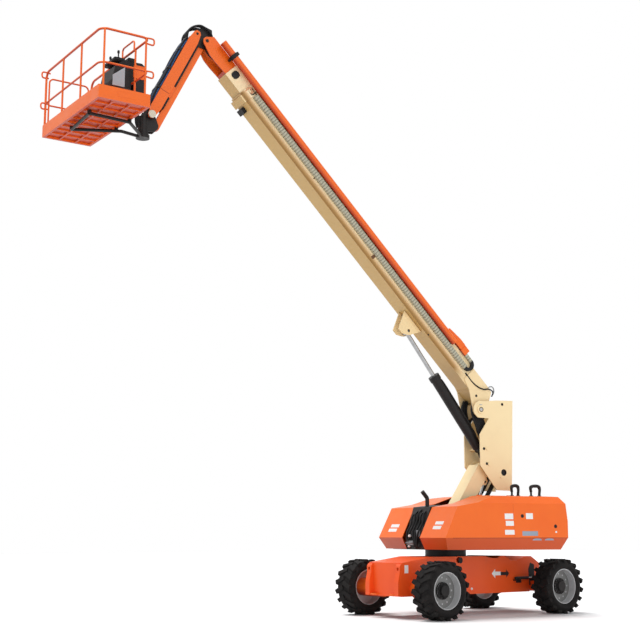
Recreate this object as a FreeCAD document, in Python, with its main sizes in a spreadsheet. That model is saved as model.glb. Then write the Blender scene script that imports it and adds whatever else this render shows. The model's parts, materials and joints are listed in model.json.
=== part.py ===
import FreeCAD, Part
import math
import os
import re

import Sketcher
from FreeCAD import Placement, Rotation, Vector

# Telescopic boom lift: a two-axle chassis, a turntable on a slew ring, a short tower
# link with an upright, a three-section boom, a parallelogram jib and a work basket.
# Row frame: +X to the boom end, +Y to the left side, +Z up, origin on the ground
# under the slew axis. Millimetres and degrees.

doc = FreeCAD.newDocument("BoomLift")
sheet = doc.addObject("Spreadsheet::Sheet", "Sizes")

sizes = {
    # running gear
    "frontAxleX": 1145,          # boom-end axle ahead of the slew axis
    "wheelBase": 3050,
    "trackWidth": 2070,
    "tyreDiameter": 1010,
    "tyreWidth": 420,
    "lugHeight": 26,
    "lugCount": 18,
    "rimDiameter": 640,
    "rimWall": 12,
    "hubDiameter": 330,
    "hubFace": 6,                # hub's end outside the wheel centre plane
    "steerGap": 50,              # chassis side to the steering cylinder's line
    "axleBeam": 160,
    "steerArm": 190,             # king pin to the steering cylinder's eye
    "steerCylinderLength": 535,  # foot pin to eye, straight ahead
    # chassis
    "chassisWidth": 880,
    "chassisFront": 1500,
    "chassisRear": 2090,
    "chassisBottom": 385,
    "chassisTop": 1065,
    "chassisNoseTop": 970,
    "chassisPlate": 20,
    "ringDiameter": 760,
    "tieDownY": 250,
    "tieDownReach": 108,
    "tieDownPlate": 24,
    # turntable
    "deckBottom": 1187,
    "deckThick": 72,
    "deckFront": 560,
    "deckRear": 1700,
    "deckInset": 160,            # deck's edge inside the hoods' widest line
    "hoodWidth": 2400,
    "bayWidth": 640,             # open bay between the hoods
    "hoodFront": 750,
    "hoodRear": 1934,
    "engineInset": 300,          # engine's side inside the hood's widest line
    "hoodTop": 2172,
    "hoodNoseTop": 1960,
    "chineHeight": 1405,
    "hoodWall": 10,
    "slewAngle": -12,
    # tower link and upright, seen in the turntable's own plane
    "towerFootX": -40,
    "towerFootZ": 1550,
    "towerLength": 1467,
    "towerAngle": 57,
    "towerDepth": 280,
    "towerWidth": 340,
    "towerWall": 12,
    "earInside": 80,             # clear half width between the tower's cylinder ears
    "linkBackX": 260,            # level link's pins, behind the tower's
    "linkDownZ": 240,
    "linkDepth": 80,
    "uprightWidth": 560,
    "uprightPlate": 20,
    "pivotForward": 164,         # boom pivot from the tower's head pin
    "pivotUp": 1030,
    "pivotRadius": 170,
    # boom
    "boomAngle": 46.9,
    "boomFloor": 115,            # underside from the pivot's centre line
    "boomHeight": 360,
    "boomWidth": 400,
    "boomWall": 9,
    "baseNose": 7460,
    "midNose": 7890,
    "flyNose": 8300,
    "sectionStep": 20,           # each section smaller than the last, a side
    "sectionTail": 250,
    "noseOpening": 7950,         # the fly's underside is open beyond here
    "knuckleAlong": 8550,        # knuckle pin on the fly's nose
    "knuckleOver": 270,
    "liftFootX": 124,            # lift cylinder's foot pin behind and below the pivot
    "liftFootZ": 740,
    "liftEyeX": 2060,
    "liftEyeZ": 90,
    "liftBarrel": 196,
    "liftRod": 80,
    "pushTube": 130,
    "pushTubeOver": 447,
    "pushTubeY": 272,
    "trackStart": 790,           # cable track's loop centre, boom in
    "trackFloor": 281,           # underside of the cable track's lower run
    "trackRise": 251,            # outside of the loop, bottom to top
    "trackHeight": 64,
    "trackY": 234,
    "cableTrackWidth": 44,
    "trayStart": 800,
    "trayEnd": 7250,
    "trayRibs": 64,
    # jib, in the turntable's plane, from the knuckle's pin
    "jibForward": 185,
    "jibUp": 106,
    "jibLength": 1830,
    "jibAngle": 63.75,
    "jibOffsetX": 109,
    "jibOffsetZ": 198,
    "jibUpperDepth": 190,
    "jibLowerDepth": 120,
    "jibWidth": 300,
    # basket
    "rotatorReach": 115,         # rotator's axis ahead of the jib's end pin
    "basketReach": 950,
    "basketShift": 90,
    "basketAngle": 7.4,
    "basketFloor": 8351,
    "basketLength": 2440,
    "basketDepth": 910,
    "railHeight": 1215,
    "midRailHeight": 620,
    "toeHeight": 180,
    "sheetWall": 6,
    "railRadius": 20,
    "cornerRadius": 130,
    # clearances
    "running": 5,
    "seat": 0.3,
    "pinGap": 1,
}

for row, (name, value) in enumerate(sizes.items(), start=1):
    sheet.set("A%d" % row, str(value))
    sheet.setAlias("A%d" % row, name)
doc.recompute()


def size(name):
    return float(sheet.get(name))


def linked(text):
    """An expression in plain size names, with each name pointed at the sheet."""
    swap = lambda word: "Sizes." + word.group(0) if word.group(0) in sizes else word.group(0)
    return re.sub(r"[A-Za-z]\w*", swap, str(text))


def bind(item, prop, text):
    item.setExpression(prop, linked(text))


upAxis = Vector(0, 0, 1)
turnFor = {"X": Rotation(Vector(0, 1, 0), 90), "Y": Rotation(Vector(1, 0, 0), -90), "Z": Rotation()}


def box(name, corner, lengths):
    item = doc.addObject("Part::Box", name)
    for prop, text in zip(("Length", "Width", "Height"), lengths):
        bind(item, prop, text)
    for axis, text in zip("xyz", corner):
        bind(item, "Placement.Base." + axis, text)
    return item


def slab(name, x, z, lengths, y="0"):
    """A box centred on y, standing on z, with its low end at x."""
    return box(name, (x, "%s - (%s) / 2" % (y, lengths[1]), z), lengths)


def rod(name, axis, middle, radius, length):
    """A cylinder along a row axis, given the middle of its length."""
    item = doc.addObject("Part::Cylinder", name)
    item.Placement = Placement(Vector(), turnFor[axis])
    bind(item, "Radius", radius)
    bind(item, "Height", length)
    for letter, text in zip("xyz", middle):
        start = "%s - (%s) / 2" % (text, length) if letter.upper() == axis else text
        bind(item, "Placement.Base." + letter, start)
    return item


def plate(name, points, thickness, holes=(), plane="XZ_Plane", middle="0"):
    """A padded outline, symmetric about its plane, with round holes through it."""
    body = doc.addObject("PartDesign::Body", name)
    sketch = body.newObject("Sketcher::SketchObject", name + "Outline")
    face = [item for item in body.Origin.OriginFeatures if item.Role == plane][0]
    sketch.AttachmentSupport = (face, [""])
    sketch.MapMode = "FlatFace"
    count = len(points)
    start = [Vector(100 * math.cos(2 * math.pi * i / count), 100 * math.sin(2 * math.pi * i / count), 0)
             for i in range(count)]
    for i in range(count):
        sketch.addGeometry(Part.LineSegment(start[i], start[(i + 1) % count]), False)
    for i in range(count):
        sketch.addConstraint(Sketcher.Constraint("Coincident", i, 2, (i + 1) % count, 1))
    for i, (across, up) in enumerate(points):
        place(sketch, i, 1, across, up, start[i])
    for i, (across, up, radius) in enumerate(holes, start=count):
        sketch.addGeometry(Part.Circle(Vector(), upAxis, 10), False)
        place(sketch, i, 3, across, up, Vector())
        sketch.setExpression("Constraints[%d]" % sketch.addConstraint(
            Sketcher.Constraint("Radius", i, 10)), linked(radius))
    pad = body.newObject("PartDesign::Pad", name + "Pad")
    pad.Profile = sketch
    pad.SideType = "Symmetric"
    bind(pad, "Length", thickness)
    bind(body, "Placement.Base." + {"XZ_Plane": "y", "YZ_Plane": "x", "XY_Plane": "z"}[plane], middle)
    return body


def place(sketch, curve, point, across, up, start):
    for kind, text, value in (("DistanceX", across, start.x), ("DistanceY", up, start.y)):
        index = sketch.addConstraint(Sketcher.Constraint(kind, -1, 1, curve, point, value))
        sketch.setExpression("Constraints[%d]" % index, linked(text))


def fuse(name, items):
    item = doc.addObject("Part::MultiFuse", name)
    item.Shapes = items
    item.Refine = True
    return item


def cut(name, base, tools):
    item = doc.addObject("Part::Cut", name)
    item.Base = base
    item.Tool = tools[0] if len(tools) == 1 else fuse(name + "Tools", tools)
    item.Refine = True
    return item


def group(name, items):
    item = doc.addObject("Part::Compound", name)
    item.Links = items
    return item


def copyOf(name, source, placement):
    item = group(name, [source])
    item.Placement = placement
    return item


def bentTube(name, points, radius, bend, closed=False):
    """A round bar of straight runs joined by tangent arcs."""
    points = [Vector(*point) for point in points]
    count = len(points)
    edges, last = [], None
    corners = range(count) if closed else range(1, count - 1)
    arcs = {}
    for i in corners:
        before = (points[i - 1] - points[i]).normalize()
        after = (points[(i + 1) % count] - points[i]).normalize()
        half = before.getAngle(after) / 2
        trim = bend / math.tan(half)
        middle = (before + after).normalize() * (bend / math.sin(half) - bend)
        arcs[i] = (points[i] + before * trim, points[i] + middle, points[i] + after * trim)
    last = arcs[0][2] if closed else points[0]
    for i in list(corners)[1:] + [0] if closed else corners:
        edges.append(Part.LineSegment(last, arcs[i][0]).toShape())
        edges.append(Part.Arc(*arcs[i]).toShape())
        last = arcs[i][2]
    if not closed:
        edges.append(Part.LineSegment(last, points[-1]).toShape())
    path = Part.Wire(edges)
    first = edges[0]
    tangent = first.tangentAt(first.FirstParameter)
    ring = Part.Wire(Part.Circle(first.valueAt(first.FirstParameter), tangent, radius).toShape())
    item = doc.addObject("Part::Feature", name)
    item.Shape = path.makePipeShell([ring], True, False)
    return item


def named(name, item):
    return group(name, [item])


nodes = []


def node(item, placement=Placement()):
    """Registers a finished piece: its label names its file."""
    item.Label = item.Name
    item.Placement = placement.multiply(item.Placement)
    nodes.append(item)
    return item


def turned(angle):
    """Raises the local X axis by an angle in the turntable's plane."""
    return Rotation(Vector(0, 1, 0), -angle)


turntable = Placement(Vector(), Rotation(upAxis, size("slewAngle")))

# ---------------------------------------------------------------- chassis


def buildChassis():
    side = plate("chassisSide", [
        ("-chassisRear", "chassisBottom"), ("chassisFront", "chassisBottom"),
        ("chassisFront", "chassisNoseTop"), ("chassisFront - 750", "chassisTop"),
        ("-chassisRear + 1500", "chassisTop"), ("-chassisRear + 1330", "chassisTop - 40"),
        ("-chassisRear + 1180", "chassisTop - 40"), ("-chassisRear + 1070", "chassisTop"),
        ("-chassisRear + 960", "chassisTop"), ("-chassisRear + 800", "chassisTop - 90"),
        ("-chassisRear + 640", "chassisTop - 90"), ("-chassisRear + 400", "chassisTop - 15"),
        ("-chassisRear + 230", "chassisTop - 15"), ("-chassisRear", "chassisTop - 150"),
    ], "chassisWidth")
    hollow = slab("chassisHollow", "-chassisRear + chassisPlate", "chassisBottom - 10",
                  ("chassisRear + chassisFront - 2 * chassisPlate", "chassisWidth - 2 * chassisPlate",
                   "chassisTop - chassisBottom - 170"))
    tunnel = slab("axleTunnel", "frontAxleX - wheelBase - axleBeam / 2 - 30", "chassisBottom - 10",
                  ("axleBeam + 60", "chassisWidth + 20", "tyreDiameter / 2 + axleBeam / 2 + 50 - chassisBottom"))
    sideHole = rod("sideHole", "Y", ("100", "0", "1000"), "56", "chassisWidth + 20")
    shell = cut("chassisShell", side, [hollow, tunnel, sideHole])
    extras = []
    for index, sign in enumerate(("", "-")):
        bracket = plate("noseRib%d" % index, [
            ("chassisFront - 10", "chassisBottom + 10"), ("chassisFront + 95", "chassisBottom + 10"),
            ("chassisFront + 95", "chassisBottom + 250"), ("chassisFront + 55", "chassisNoseTop - 170"),
            ("chassisFront + 55", "chassisNoseTop - 60"), ("chassisFront + 20", "chassisNoseTop - 20"),
            ("chassisFront - 10", "chassisNoseTop - 20")], "110", middle="%s(chassisWidth / 2 - 55)" % sign)
        eye = rod("noseEye%d" % index, "X", ("chassisFront + 40", "%s(chassisWidth / 2 - 55)" % sign,
                                             "chassisNoseTop - 110"), "28", "60")
        extras.append(cut("noseBracket%d" % index, bracket, [eye]))
    for index, sign in enumerate(("-", "+")):
        extras.append(slab("trunnionPlate%d" % index,
                           "frontAxleX - wheelBase %s (axleBeam / 2 + 42) - 12" % sign,
                           "chassisBottom", ("24", "chassisWidth - chassisPlate", "420")))
    extras.append(rod("trunnion", "X", ("frontAxleX - wheelBase", "0", "tyreDiameter / 2"), "45",
                      "axleBeam + 120"))
    extras.append(slab("ringBulkhead", "-200", "chassisBottom",
                       ("24", "chassisWidth - chassisPlate", "chassisTop - chassisBottom - 170")))
    node(fuse("chassis_frame", [shell] + extras))


def buildAxles():
    hubs = []
    for index, sign in enumerate(("", "-")):
        hub = rod("frontHub%d" % index, "Y",
                  ("frontAxleX", "%s(chassisWidth / 2 + trackWidth / 2 + hubFace) / 2" % sign, "tyreDiameter / 2"),
                  "hubDiameter / 2", "trackWidth / 2 + hubFace - chassisWidth / 2 - 2 * seat")
        hubs.append(hub)
    node(group("front_hubs", hubs))
    kingPinY = "(chassisWidth / 2 + steerGap + steerArm)"
    middleZ = "tyreDiameter / 2"
    steerX = "(frontAxleX - wheelBase)"
    beam = slab("axleBeamBlock", steerX + " - axleBeam / 2", middleZ + " - axleBeam / 2",
                ("axleBeam", "2 * (%s - 90)" % kingPinY, "axleBeam"))
    tools = [rod("axleTrunnionBore", "X", (steerX, "0", middleZ), "45 + seat", "axleBeam + 20")]
    arms = []
    for index, sign in enumerate(("", "-")):
        pinY = sign + kingPinY
        for level, shift in (("Upper", "50"), ("Lower", "-80")):
            arms.append(slab("yoke%s%d" % (level, index), steerX + " - 60", "%s + %s" % (middleZ, shift),
                             ("120", "120", "30"), y="%s(%s - 60)" % (sign, kingPinY)))
            arms.append(rod("yokeEnd%s%d" % (level, index), "Z",
                            (steerX, pinY, "%s + %s + 15" % (middleZ, shift)), "60", "30"))
        tools.append(rod("kingPinBore%d" % index, "Z", (steerX, pinY, middleZ), "24 + pinGap", "200"))
    node(cut("steer_axle", fuse("axleWeldment", [beam] + arms), tools))
    for side, sign in (("left", ""), ("right", "-")):
        pinY = sign + kingPinY
        pieces = [
            rod(side + "KnuckleBlock", "Z", (steerX, pinY, middleZ), "58", "90"),
            rod(side + "KingPin", "Z", (steerX, pinY, middleZ + " + 15"), "24", "206"),
            rod(side + "KnuckleNeck", "Y", (steerX, "%s(%s + 60)" % (sign, kingPinY), middleZ), "44", "120"),
            rod(side + "KnuckleHub", "Y",
                (steerX, "%s(trackWidth / 2 + hubFace - seat + %s + 80) / 2" % (sign, kingPinY), middleZ),
                "hubDiameter / 2 - 40",
                "trackWidth / 2 + hubFace - seat - %s - 80" % kingPinY),
            slab(side + "SteerArm", steerX + " - 35", middleZ + " + 88", ("70", "steerArm", "30"),
                 y="%s(%s - steerArm / 2)" % (sign, kingPinY)),
            rod(side + "SteerArmRoot", "Z", (steerX, pinY, middleZ + " + 103"), "35", "30"),
            rod(side + "SteerArmEnd", "Z", (steerX, "%s(%s - steerArm)" % (sign, kingPinY), middleZ + " + 103"),
                "35", "30")]
        node(fuse(side + "_knuckle", pieces))


def buildSteering():
    """Each cylinder lies along the chassis side, from a foot lug to the knuckle's arm."""
    eyeX = "(frontAxleX - wheelBase)"
    level = "(tyreDiameter / 2 + 141)"
    for side, sign in (("left", ""), ("right", "-")):
        lineY = "%s(chassisWidth / 2 + steerGap)" % sign
        foot = "%s + steerCylinderLength" % eyeX
        barrel = fuse(side + "_steer_barrel", [
            rod(side + "SteerTube", "X", (foot + " - 175", lineY, level), "28", "310"),
            rod(side + "SteerFoot", "Z", (foot, lineY, level), "28", "36")])
        bore = rod(side + "SteerFootBore", "Z", (foot, lineY, level), "14 + pinGap", "60")
        hollow = rod(side + "SteerHollow", "X", (foot + " - 240", lineY, level), "15 + pinGap", "270")
        node(cut(side + "_steering_barrel", barrel, [bore, hollow]))
        rodBody = fuse(side + "SteerRodBody", [
            rod(side + "SteerRod", "X", (eyeX + " + 160", lineY, level), "15", "290"),
            rod(side + "SteerEye", "Z", (eyeX, lineY, level), "26", "34"),
            rod(side + "SteerEyePin", "Z", (eyeX, lineY, level + " + 21"), "12", "14")])
        node(named(side + "_steering_rod", rodBody))
    lugs = []
    for side, sign in (("left", ""), ("right", "-")):
        lineY = "%s(chassisWidth / 2 + steerGap)" % sign
        foot = "%s + steerCylinderLength" % eyeX
        lugs.append(fuse(side + "SteerLug", [
            slab(side + "SteerShelf", foot + " - 30", level + " - 28 - running - 16",
                 ("60", "80", "16"), y="%s(chassisWidth / 2 + 40)" % sign),
            rod(side + "SteerPin", "Z", (foot, lineY, level + " - 8"), "14", "62")]))
    node(group("steering_lugs", lugs))


def buildRing():
    node(rod("slew_ring", "Z", ("0", "0", "(chassisTop + deckBottom) / 2"), "ringDiameter / 2",
             "deckBottom - chassisTop - 2 * seat"))


def buildTieDowns():
    """Flat lugs with an upright hole at the foot of the chassis' end faces."""
    lugs = []
    for end, x, sign in (("Front", "chassisFront + seat", "+"), ("Rear", "-chassisRear - seat", "-")):
        for index, side in enumerate(("", "-")):
            y = "%stieDownY" % side
            lugs.append(plate("tieDown%s%d" % (end, index), [
                (x, y + " - 65"), ("%s %s 70" % (x, sign), y + " - 65"), ("%s %s tieDownReach" % (x, sign), y + " - 35"),
                ("%s %s tieDownReach" % (x, sign), y + " + 35"), ("%s %s 70" % (x, sign), y + " + 65"),
                (x, y + " + 65")], "tieDownPlate",
                plane="XY_Plane", holes=[("%s %s 58" % (x, sign), y, "22")],
                middle="chassisBottom + 20 + tieDownPlate / 2"))
    node(group("tie_down_lugs", lugs))


# ---------------------------------------------------------------- wheels


def buildWheels():
    half = size("tyreWidth") / 2
    outer = size("tyreDiameter") / 2 - size("lugHeight")
    bead = size("rimDiameter") / 2
    profile = Part.makePolygon([Vector(x, y, 0) for x, y in (
        (bead, -half + 40), (bead + 60, -half), (outer - 70, -half + 4), (outer, -half + 55),
        (outer, half - 55), (outer - 70, half - 4), (bead + 60, half), (bead, half - 40),
        (bead, -half + 40))])
    carcass = Part.Face(profile).revolve(Vector(), Vector(0, 1, 0), 360)
    count = int(size("lugCount"))
    lug = Part.makeBox(size("lugHeight") + 60, half + 10, 76)
    lug.translate(Vector(outer - 30, 0, -38))
    lug.rotate(Vector(outer, 0, 0), Vector(1, 0, 0), 24)
    otherLug = lug.mirror(Vector(), Vector(0, 1, 0))
    lugs = []
    for index in range(count):
        for shift, shape in ((0, lug), (0.5, otherLug)):
            turnedLug = shape.copy()
            turnedLug.rotate(Vector(), Vector(0, 1, 0), 360 * (index + shift) / count)
            lugs.append(turnedLug)
    limit = Part.makeCylinder(size("tyreDiameter") / 2, 2 * half, Vector(0, -half, 0), Vector(0, 1, 0))
    tyre = doc.addObject("Part::Feature", "tyreMaster")
    tyre.Shape = carcass.fuse([one.common(limit) for one in lugs])
    rimRing = cut("rimRing", rod("rimOuter", "Y", ("0", "0", "0"), "rimDiameter / 2 - seat", "tyreWidth - 72"),
                  [rod("rimInner", "Y", ("0", "0", "0"), "rimDiameter / 2 - rimWall", "tyreWidth")])
    disc = rod("rimDisc", "Y", ("0", "hubFace + 14", "0"), "rimDiameter / 2 - 5", "28")
    flange = rod("hubFlange", "Y", ("0", "hubFace + 45", "0"), "150", "40")
    cap = rod("hubCap", "Y", ("0", "hubFace + 85", "0"), "95", "60")
    rim = fuse("rimMaster", [rimRing, disc, flange, cap])
    for end, x in (("front", size("frontAxleX")), ("rear", size("frontAxleX") - size("wheelBase"))):
        for side, sign in (("left", 1), ("right", -1)):
            spot = Placement(Vector(x, sign * size("trackWidth") / 2, size("tyreDiameter") / 2),
                             Rotation(upAxis, 0 if sign > 0 else 180))
            node(copyOf("tyre_%s_%s" % (end, side), tyre, spot))
            node(copyOf("rim_%s_%s" % (end, side), rim, spot))


# ---------------------------------------------------------------- turntable


def buildDeck():
    edge = "(hoodWidth / 2 - deckInset)"
    outline = [("-deckRear", "-%s + 60" % edge), ("-deckRear", "-bayWidth / 2 + 10"),
               ("-deckRear + 440", "-bayWidth / 2 + 10"), ("-deckRear + 440", "bayWidth / 2 - 10"),
               ("-deckRear", "bayWidth / 2 - 10"), ("-deckRear", "%s - 60" % edge),
               ("-deckRear + 60", edge), ("deckFront - 60", edge), ("deckFront", "%s - 60" % edge),
               ("deckFront", "-%s + 60" % edge), ("deckFront - 60", "-%s" % edge), ("-deckRear + 60", "-%s" % edge)]
    slab1 = plate("deckPlate", outline, "deckThick", plane="XY_Plane", middle="deckBottom + deckThick / 2")
    pieces = [slab1]
    footWidth = "towerWidth / 2 + 2 * running"
    for index, sign in enumerate(("", "-")):
        y = "%s(%s + 15)" % (sign, footWidth)
        pieces.append(plate("towerLug%d" % index, [
            ("towerFootX - 430", "deckBottom + 10"), ("towerFootX + 230", "deckBottom + 10"),
            ("towerFootX + 110", "towerFootZ + 60"), ("towerFootX + 50", "towerFootZ + 110"),
            ("towerFootX - 60", "towerFootZ + 110"), ("towerFootX - 130", "towerFootZ + 30"),
            ("towerFootX - linkBackX - 60", "towerFootZ - linkDownZ + 70"),
            ("towerFootX - linkBackX - 120", "towerFootZ - linkDownZ")], "30", middle=y))
    pieces.append(rod("towerFootPin", "Y", ("towerFootX", "0", "towerFootZ"), "38",
                      "2 * (%s) + 70" % footWidth))
    pieces.append(rod("linkFootPin", "Y", ("towerFootX - linkBackX", "0", "towerFootZ - linkDownZ"), "26",
                      "2 * (%s) + 70" % footWidth))
    for index, (x, y) in enumerate((("-1260", "345"), ("-1260", "-365"), ("-480", "345"), ("-480", "-365"))):
        pieces.append(box("hoodPost%d" % index, (x, y, "deckBottom + 10"),
                          ("40", "20", "hoodTop - hoodWall - seat - deckBottom - 10")))
    pieces.append(box("cylinderFootLugA", ("-510", "-86", "deckBottom + 10"), ("120", "16", "170")))
    pieces.append(box("cylinderFootLugB", ("-510", "70", "deckBottom + 10"), ("120", "16", "170")))
    pieces.append(rod("cylinderFootPin", "Y", ("-450", "0", "deckBottom + 143"), "25", "172"))
    node(fuse("turntable_deck", pieces), turntable)


def buildHoods():
    for side, sign in (("left", 1), ("right", -1)):
        shells = []
        for inset, wall in (("0", "Outer"), ("hoodWall", "Inner")):
            profile = plate(side + "HoodSide" + wall, [
                ("hoodFront - 105 - %s" % inset, "deckBottom + 8 - 2 * %s" % inset),
                ("hoodFront - %s" % inset, "chineHeight"),
                ("hoodFront - 275 - %s" % inset, "hoodNoseTop - %s" % inset),
                ("hoodFront - 720", "hoodNoseTop + 70 - %s" % inset),
                ("hoodFront - 1150", "hoodTop - %s" % inset),
                ("-hoodRear + 140 + %s" % inset, "hoodTop - %s" % inset),
                ("-hoodRear + 30 + %s" % inset, "hoodTop - 150"),
                ("-hoodRear + %s" % inset, "chineHeight + 300"),
                ("-hoodRear + 12 + %s" % inset, "chineHeight"),
                ("-hoodRear + 108 + %s" % inset, "deckBottom - 2 * %s" % inset)], "hoodWidth + 40")
            section = plate(side + "HoodSection" + wall, [
                ("bayWidth / 2 - %s" % inset, "deckBottom - 20 - %s" % inset),
                ("hoodWidth / 2 - 120 - %s" % inset, "deckBottom - 20 - %s" % inset),
                ("hoodWidth / 2 - 110 - %s" % inset, "deckBottom"),
                ("hoodWidth / 2 - %s" % inset, "chineHeight"),
                ("hoodWidth / 2 - 26 - %s" % inset, "hoodTop - 150"),
                ("hoodWidth / 2 - 120 - %s" % inset, "hoodTop - 20 - %s" % inset),
                ("bayWidth / 2 - %s" % inset, "hoodTop + 20")], "2 * hoodRear + 400", plane="YZ_Plane")
            solid = doc.addObject("Part::MultiCommon", side + "HoodSolid" + wall)
            solid.Shapes = [profile, section]
            shells.append(solid)
        knuckles = [rod("%sHoodHinge%d" % (side, index), "X", (x, "bayWidth / 2 + 10", "hoodTop + 10"), "12", "120")
                    for index, x in enumerate(("-1240", "-560"))]
        shell = fuse(side + "HoodShell", [cut(side + "HoodSkin", shells[0], [shells[1]])] + knuckles)
        hood = group(side + "_hood", [shell])
        if sign < 0:
            mirror = doc.addObject("Part::Mirroring", side + "HoodMirror")
            mirror.Source = shell
            mirror.Normal = Vector(0, 1, 0)
            hood.Links = [mirror]
        node(hood, turntable)


def buildTurntableMasses():
    blocks = []
    for index, sign in enumerate(("", "-")):
        blocks.append(slab("counterweightBlock%d" % index, "-deckRear", "deckBottom + deckThick",
                           ("420", "hoodWidth / 2 - deckInset - bayWidth / 2 - 60", "700"),
                           y="%s((hoodWidth / 2 - deckInset) / 2 + bayWidth / 4)" % sign))
    node(group("counterweight", blocks), turntable)
    node(box("engine_block", ("-deckRear + 650", "-hoodWidth / 2 + engineInset", "deckBottom + deckThick"),
             ("deckRear - 700", "(hoodWidth - bayWidth) / 2 - engineInset - 80", "560")), turntable)
    pipeX, pipeY, pipeZ = 395, 20, 1560
    sheetCowl = plate("cowlSheet", [
        ("deckFront + seat", "deckBottom + 10"), ("deckFront + 50", "deckBottom + 10"),
        ("deckFront + 120", "chineHeight"), ("deckFront - 60", "hoodNoseTop + 5"),
        ("deckFront - 330", "hoodNoseTop + 40"), ("deckFront - 330", "hoodNoseTop + 10"),
        ("deckFront - 80", "hoodNoseTop - 20"), ("deckFront + 80", "chineHeight"),
        ("deckFront + seat", "deckBottom + 60")], "bayWidth - 30")
    node(cut("front_cowl", sheetCowl, [rod("cowlHole", "Z", (str(pipeX), str(pipeY), "1900"), "38 + seat", "600")]),
         turntable)
    node(bentTube("exhaust_pipe", [(-50 + size("seat"), -450, pipeZ), (pipeX, -450, pipeZ), (pipeX, pipeY, pipeZ),
                                   (pipeX, pipeY, 2130), (pipeX + 105, pipeY, 2250)], 38, 60), turntable)


def buildHoodHandles():
    """Grab loops standing on the left hood's flat top."""
    base, top = size("hoodTop") + size("seat"), size("hoodTop") + 182
    loops = []
    for index, (rear, front) in enumerate(((-1740, -1550), (-1250, -1110))):
        loops.append(bentTube("handle%d" % index, [
            (rear, 600, base), (rear, 600, top), (front, 600, top), (front, 600, base)], 19, 60))
    node(group("left_hood_handles", loops), turntable)


# ---------------------------------------------------------------- tower and upright

towerFoot = Vector(size("towerFootX"), 0, size("towerFootZ"))
towerPlace = turntable.multiply(Placement(towerFoot, turned(180 - size("towerAngle"))))
towerHead = towerPlace.multVec(Vector(size("towerLength"), 0, 0))
uprightPlace = Placement(towerHead, Rotation(upAxis, size("slewAngle")))
linkFoot = Vector(size("towerFootX") - size("linkBackX"), 0, size("towerFootZ") - size("linkDownZ"))
linkPlace = turntable.multiply(Placement(linkFoot, turned(180 - size("towerAngle"))))


def buildTower():
    """Local X runs up the tower; local Z points to its underside."""
    tube = slab("towerTube", "70", "-towerDepth / 2", ("towerLength - 170", "towerWidth", "towerDepth"))
    hollow = slab("towerHollow", "60", "-towerDepth / 2 + towerWall",
                  ("towerLength - 150", "towerWidth - 2 * towerWall", "towerDepth - 2 * towerWall"))
    slot = slab("towerSlot", "300", "towerDepth / 2 - 2 * towerWall", ("towerLength - 430", "2 * earInside", "60"))
    pieces = [cut("towerShell", tube, [hollow, slot])]
    for index, sign in enumerate(("", "-")):
        pieces.append(plate("towerCheek%d" % index, [
            ("-70", "-50"), ("-50", "-70"), ("140", "-towerDepth / 2"), ("towerLength - 140", "-towerDepth / 2"),
            ("towerLength + 50", "-80"), ("towerLength + 75", "-40"), ("towerLength + 75", "40"),
            ("towerLength + 50", "80"), ("towerLength - 140", "towerDepth / 2"), ("140", "towerDepth / 2"),
            ("-50", "70"), ("-70", "50")], "20",
            holes=[("0", "0", "38 + pinGap"), ("towerLength", "0", "38 + pinGap")],
            middle="%s(towerWidth / 2 - 10)" % sign))
    for index, y in enumerate(("-(earInside + 20)", "earInside")):
        pieces.append(plate("towerEar%d" % index, [
            ("1090", "towerDepth / 2 - 10"), ("1310", "towerDepth / 2 - 10"), ("1245", "towerDepth / 2 + 100"),
            ("1155", "towerDepth / 2 + 100")], "20", holes=[("1200", "towerDepth / 2 + 60", "25")],
            middle=y + " + 10"))
    node(fuse("tower_boom", pieces), towerPlace)
    links = []
    for index, sign in enumerate(("", "-")):
        links.append(plate("linkBar%d" % index, [
            ("-40", "-16"), ("-16", "-40"), ("towerLength + 16", "-40"), ("towerLength + 40", "-16"),
            ("towerLength + 40", "16"), ("towerLength + 16", "40"), ("-16", "40"), ("-40", "16")], "24",
            holes=[("0", "0", "26 + pinGap"), ("towerLength", "0", "26 + pinGap")],
            middle="%s(towerWidth / 2 - 40)" % sign))
    node(group("level_link", links), linkPlace)


def cylinderPair(prefix, foot, eye, barrelRadius, rodRadius, barrelLength, eyeRadius, width, placement, pins, start):
    """A hydraulic cylinder drawn along local X from its foot pin to its rod's eye."""
    run = eye - foot
    angle = math.degrees(math.atan2(run.z, run.x))
    spot = placement.multiply(Placement(foot, turned(angle)))
    footPin, eyePin = pins
    back = eyeRadius * 0.8
    tube = rod(prefix + "Tube", "X", ("%f" % ((barrelLength + back) / 2), "0", "0"),
               barrelRadius, "%f" % (barrelLength - back))
    lug = rod(prefix + "Foot", "Y", ("0", "0", "0"), "%f" % eyeRadius, width)
    tools = [rod(prefix + "FootBore", "Y", ("0", "0", "0"), "%f + pinGap" % footPin, "500"),
             rod(prefix + "Bore", "X", ("%f" % (barrelLength / 2 + eyeRadius * 1.5), "0", "0"),
                 "(%s) + pinGap" % rodRadius, "%f" % barrelLength)]
    head = rod(prefix + "Head", "X", ("%f" % (barrelLength - 45), "0", "0"), "(%s) * 1.13" % barrelRadius, "100")
    barrel = cut(prefix + "_barrel", fuse(prefix + "BarrelBody", [tube, lug, head]), tools)
    node(barrel, spot)
    shaft = rod(prefix + "Shaft", "X", ("%f" % ((start + run.Length) / 2), "0", "0"), rodRadius,
                "%f" % (run.Length - start))
    eyeLug = rod(prefix + "Eye", "Y", ("%f" % run.Length, "0", "0"), "%f" % eyeRadius, width)
    eyeBore = rod(prefix + "EyeBore", "Y", ("%f" % run.Length, "0", "0"), "%f" % eyePin, "500")
    node(cut(prefix + "_rod", fuse(prefix + "RodBody", [shaft, eyeLug]), [eyeBore]), spot)


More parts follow.
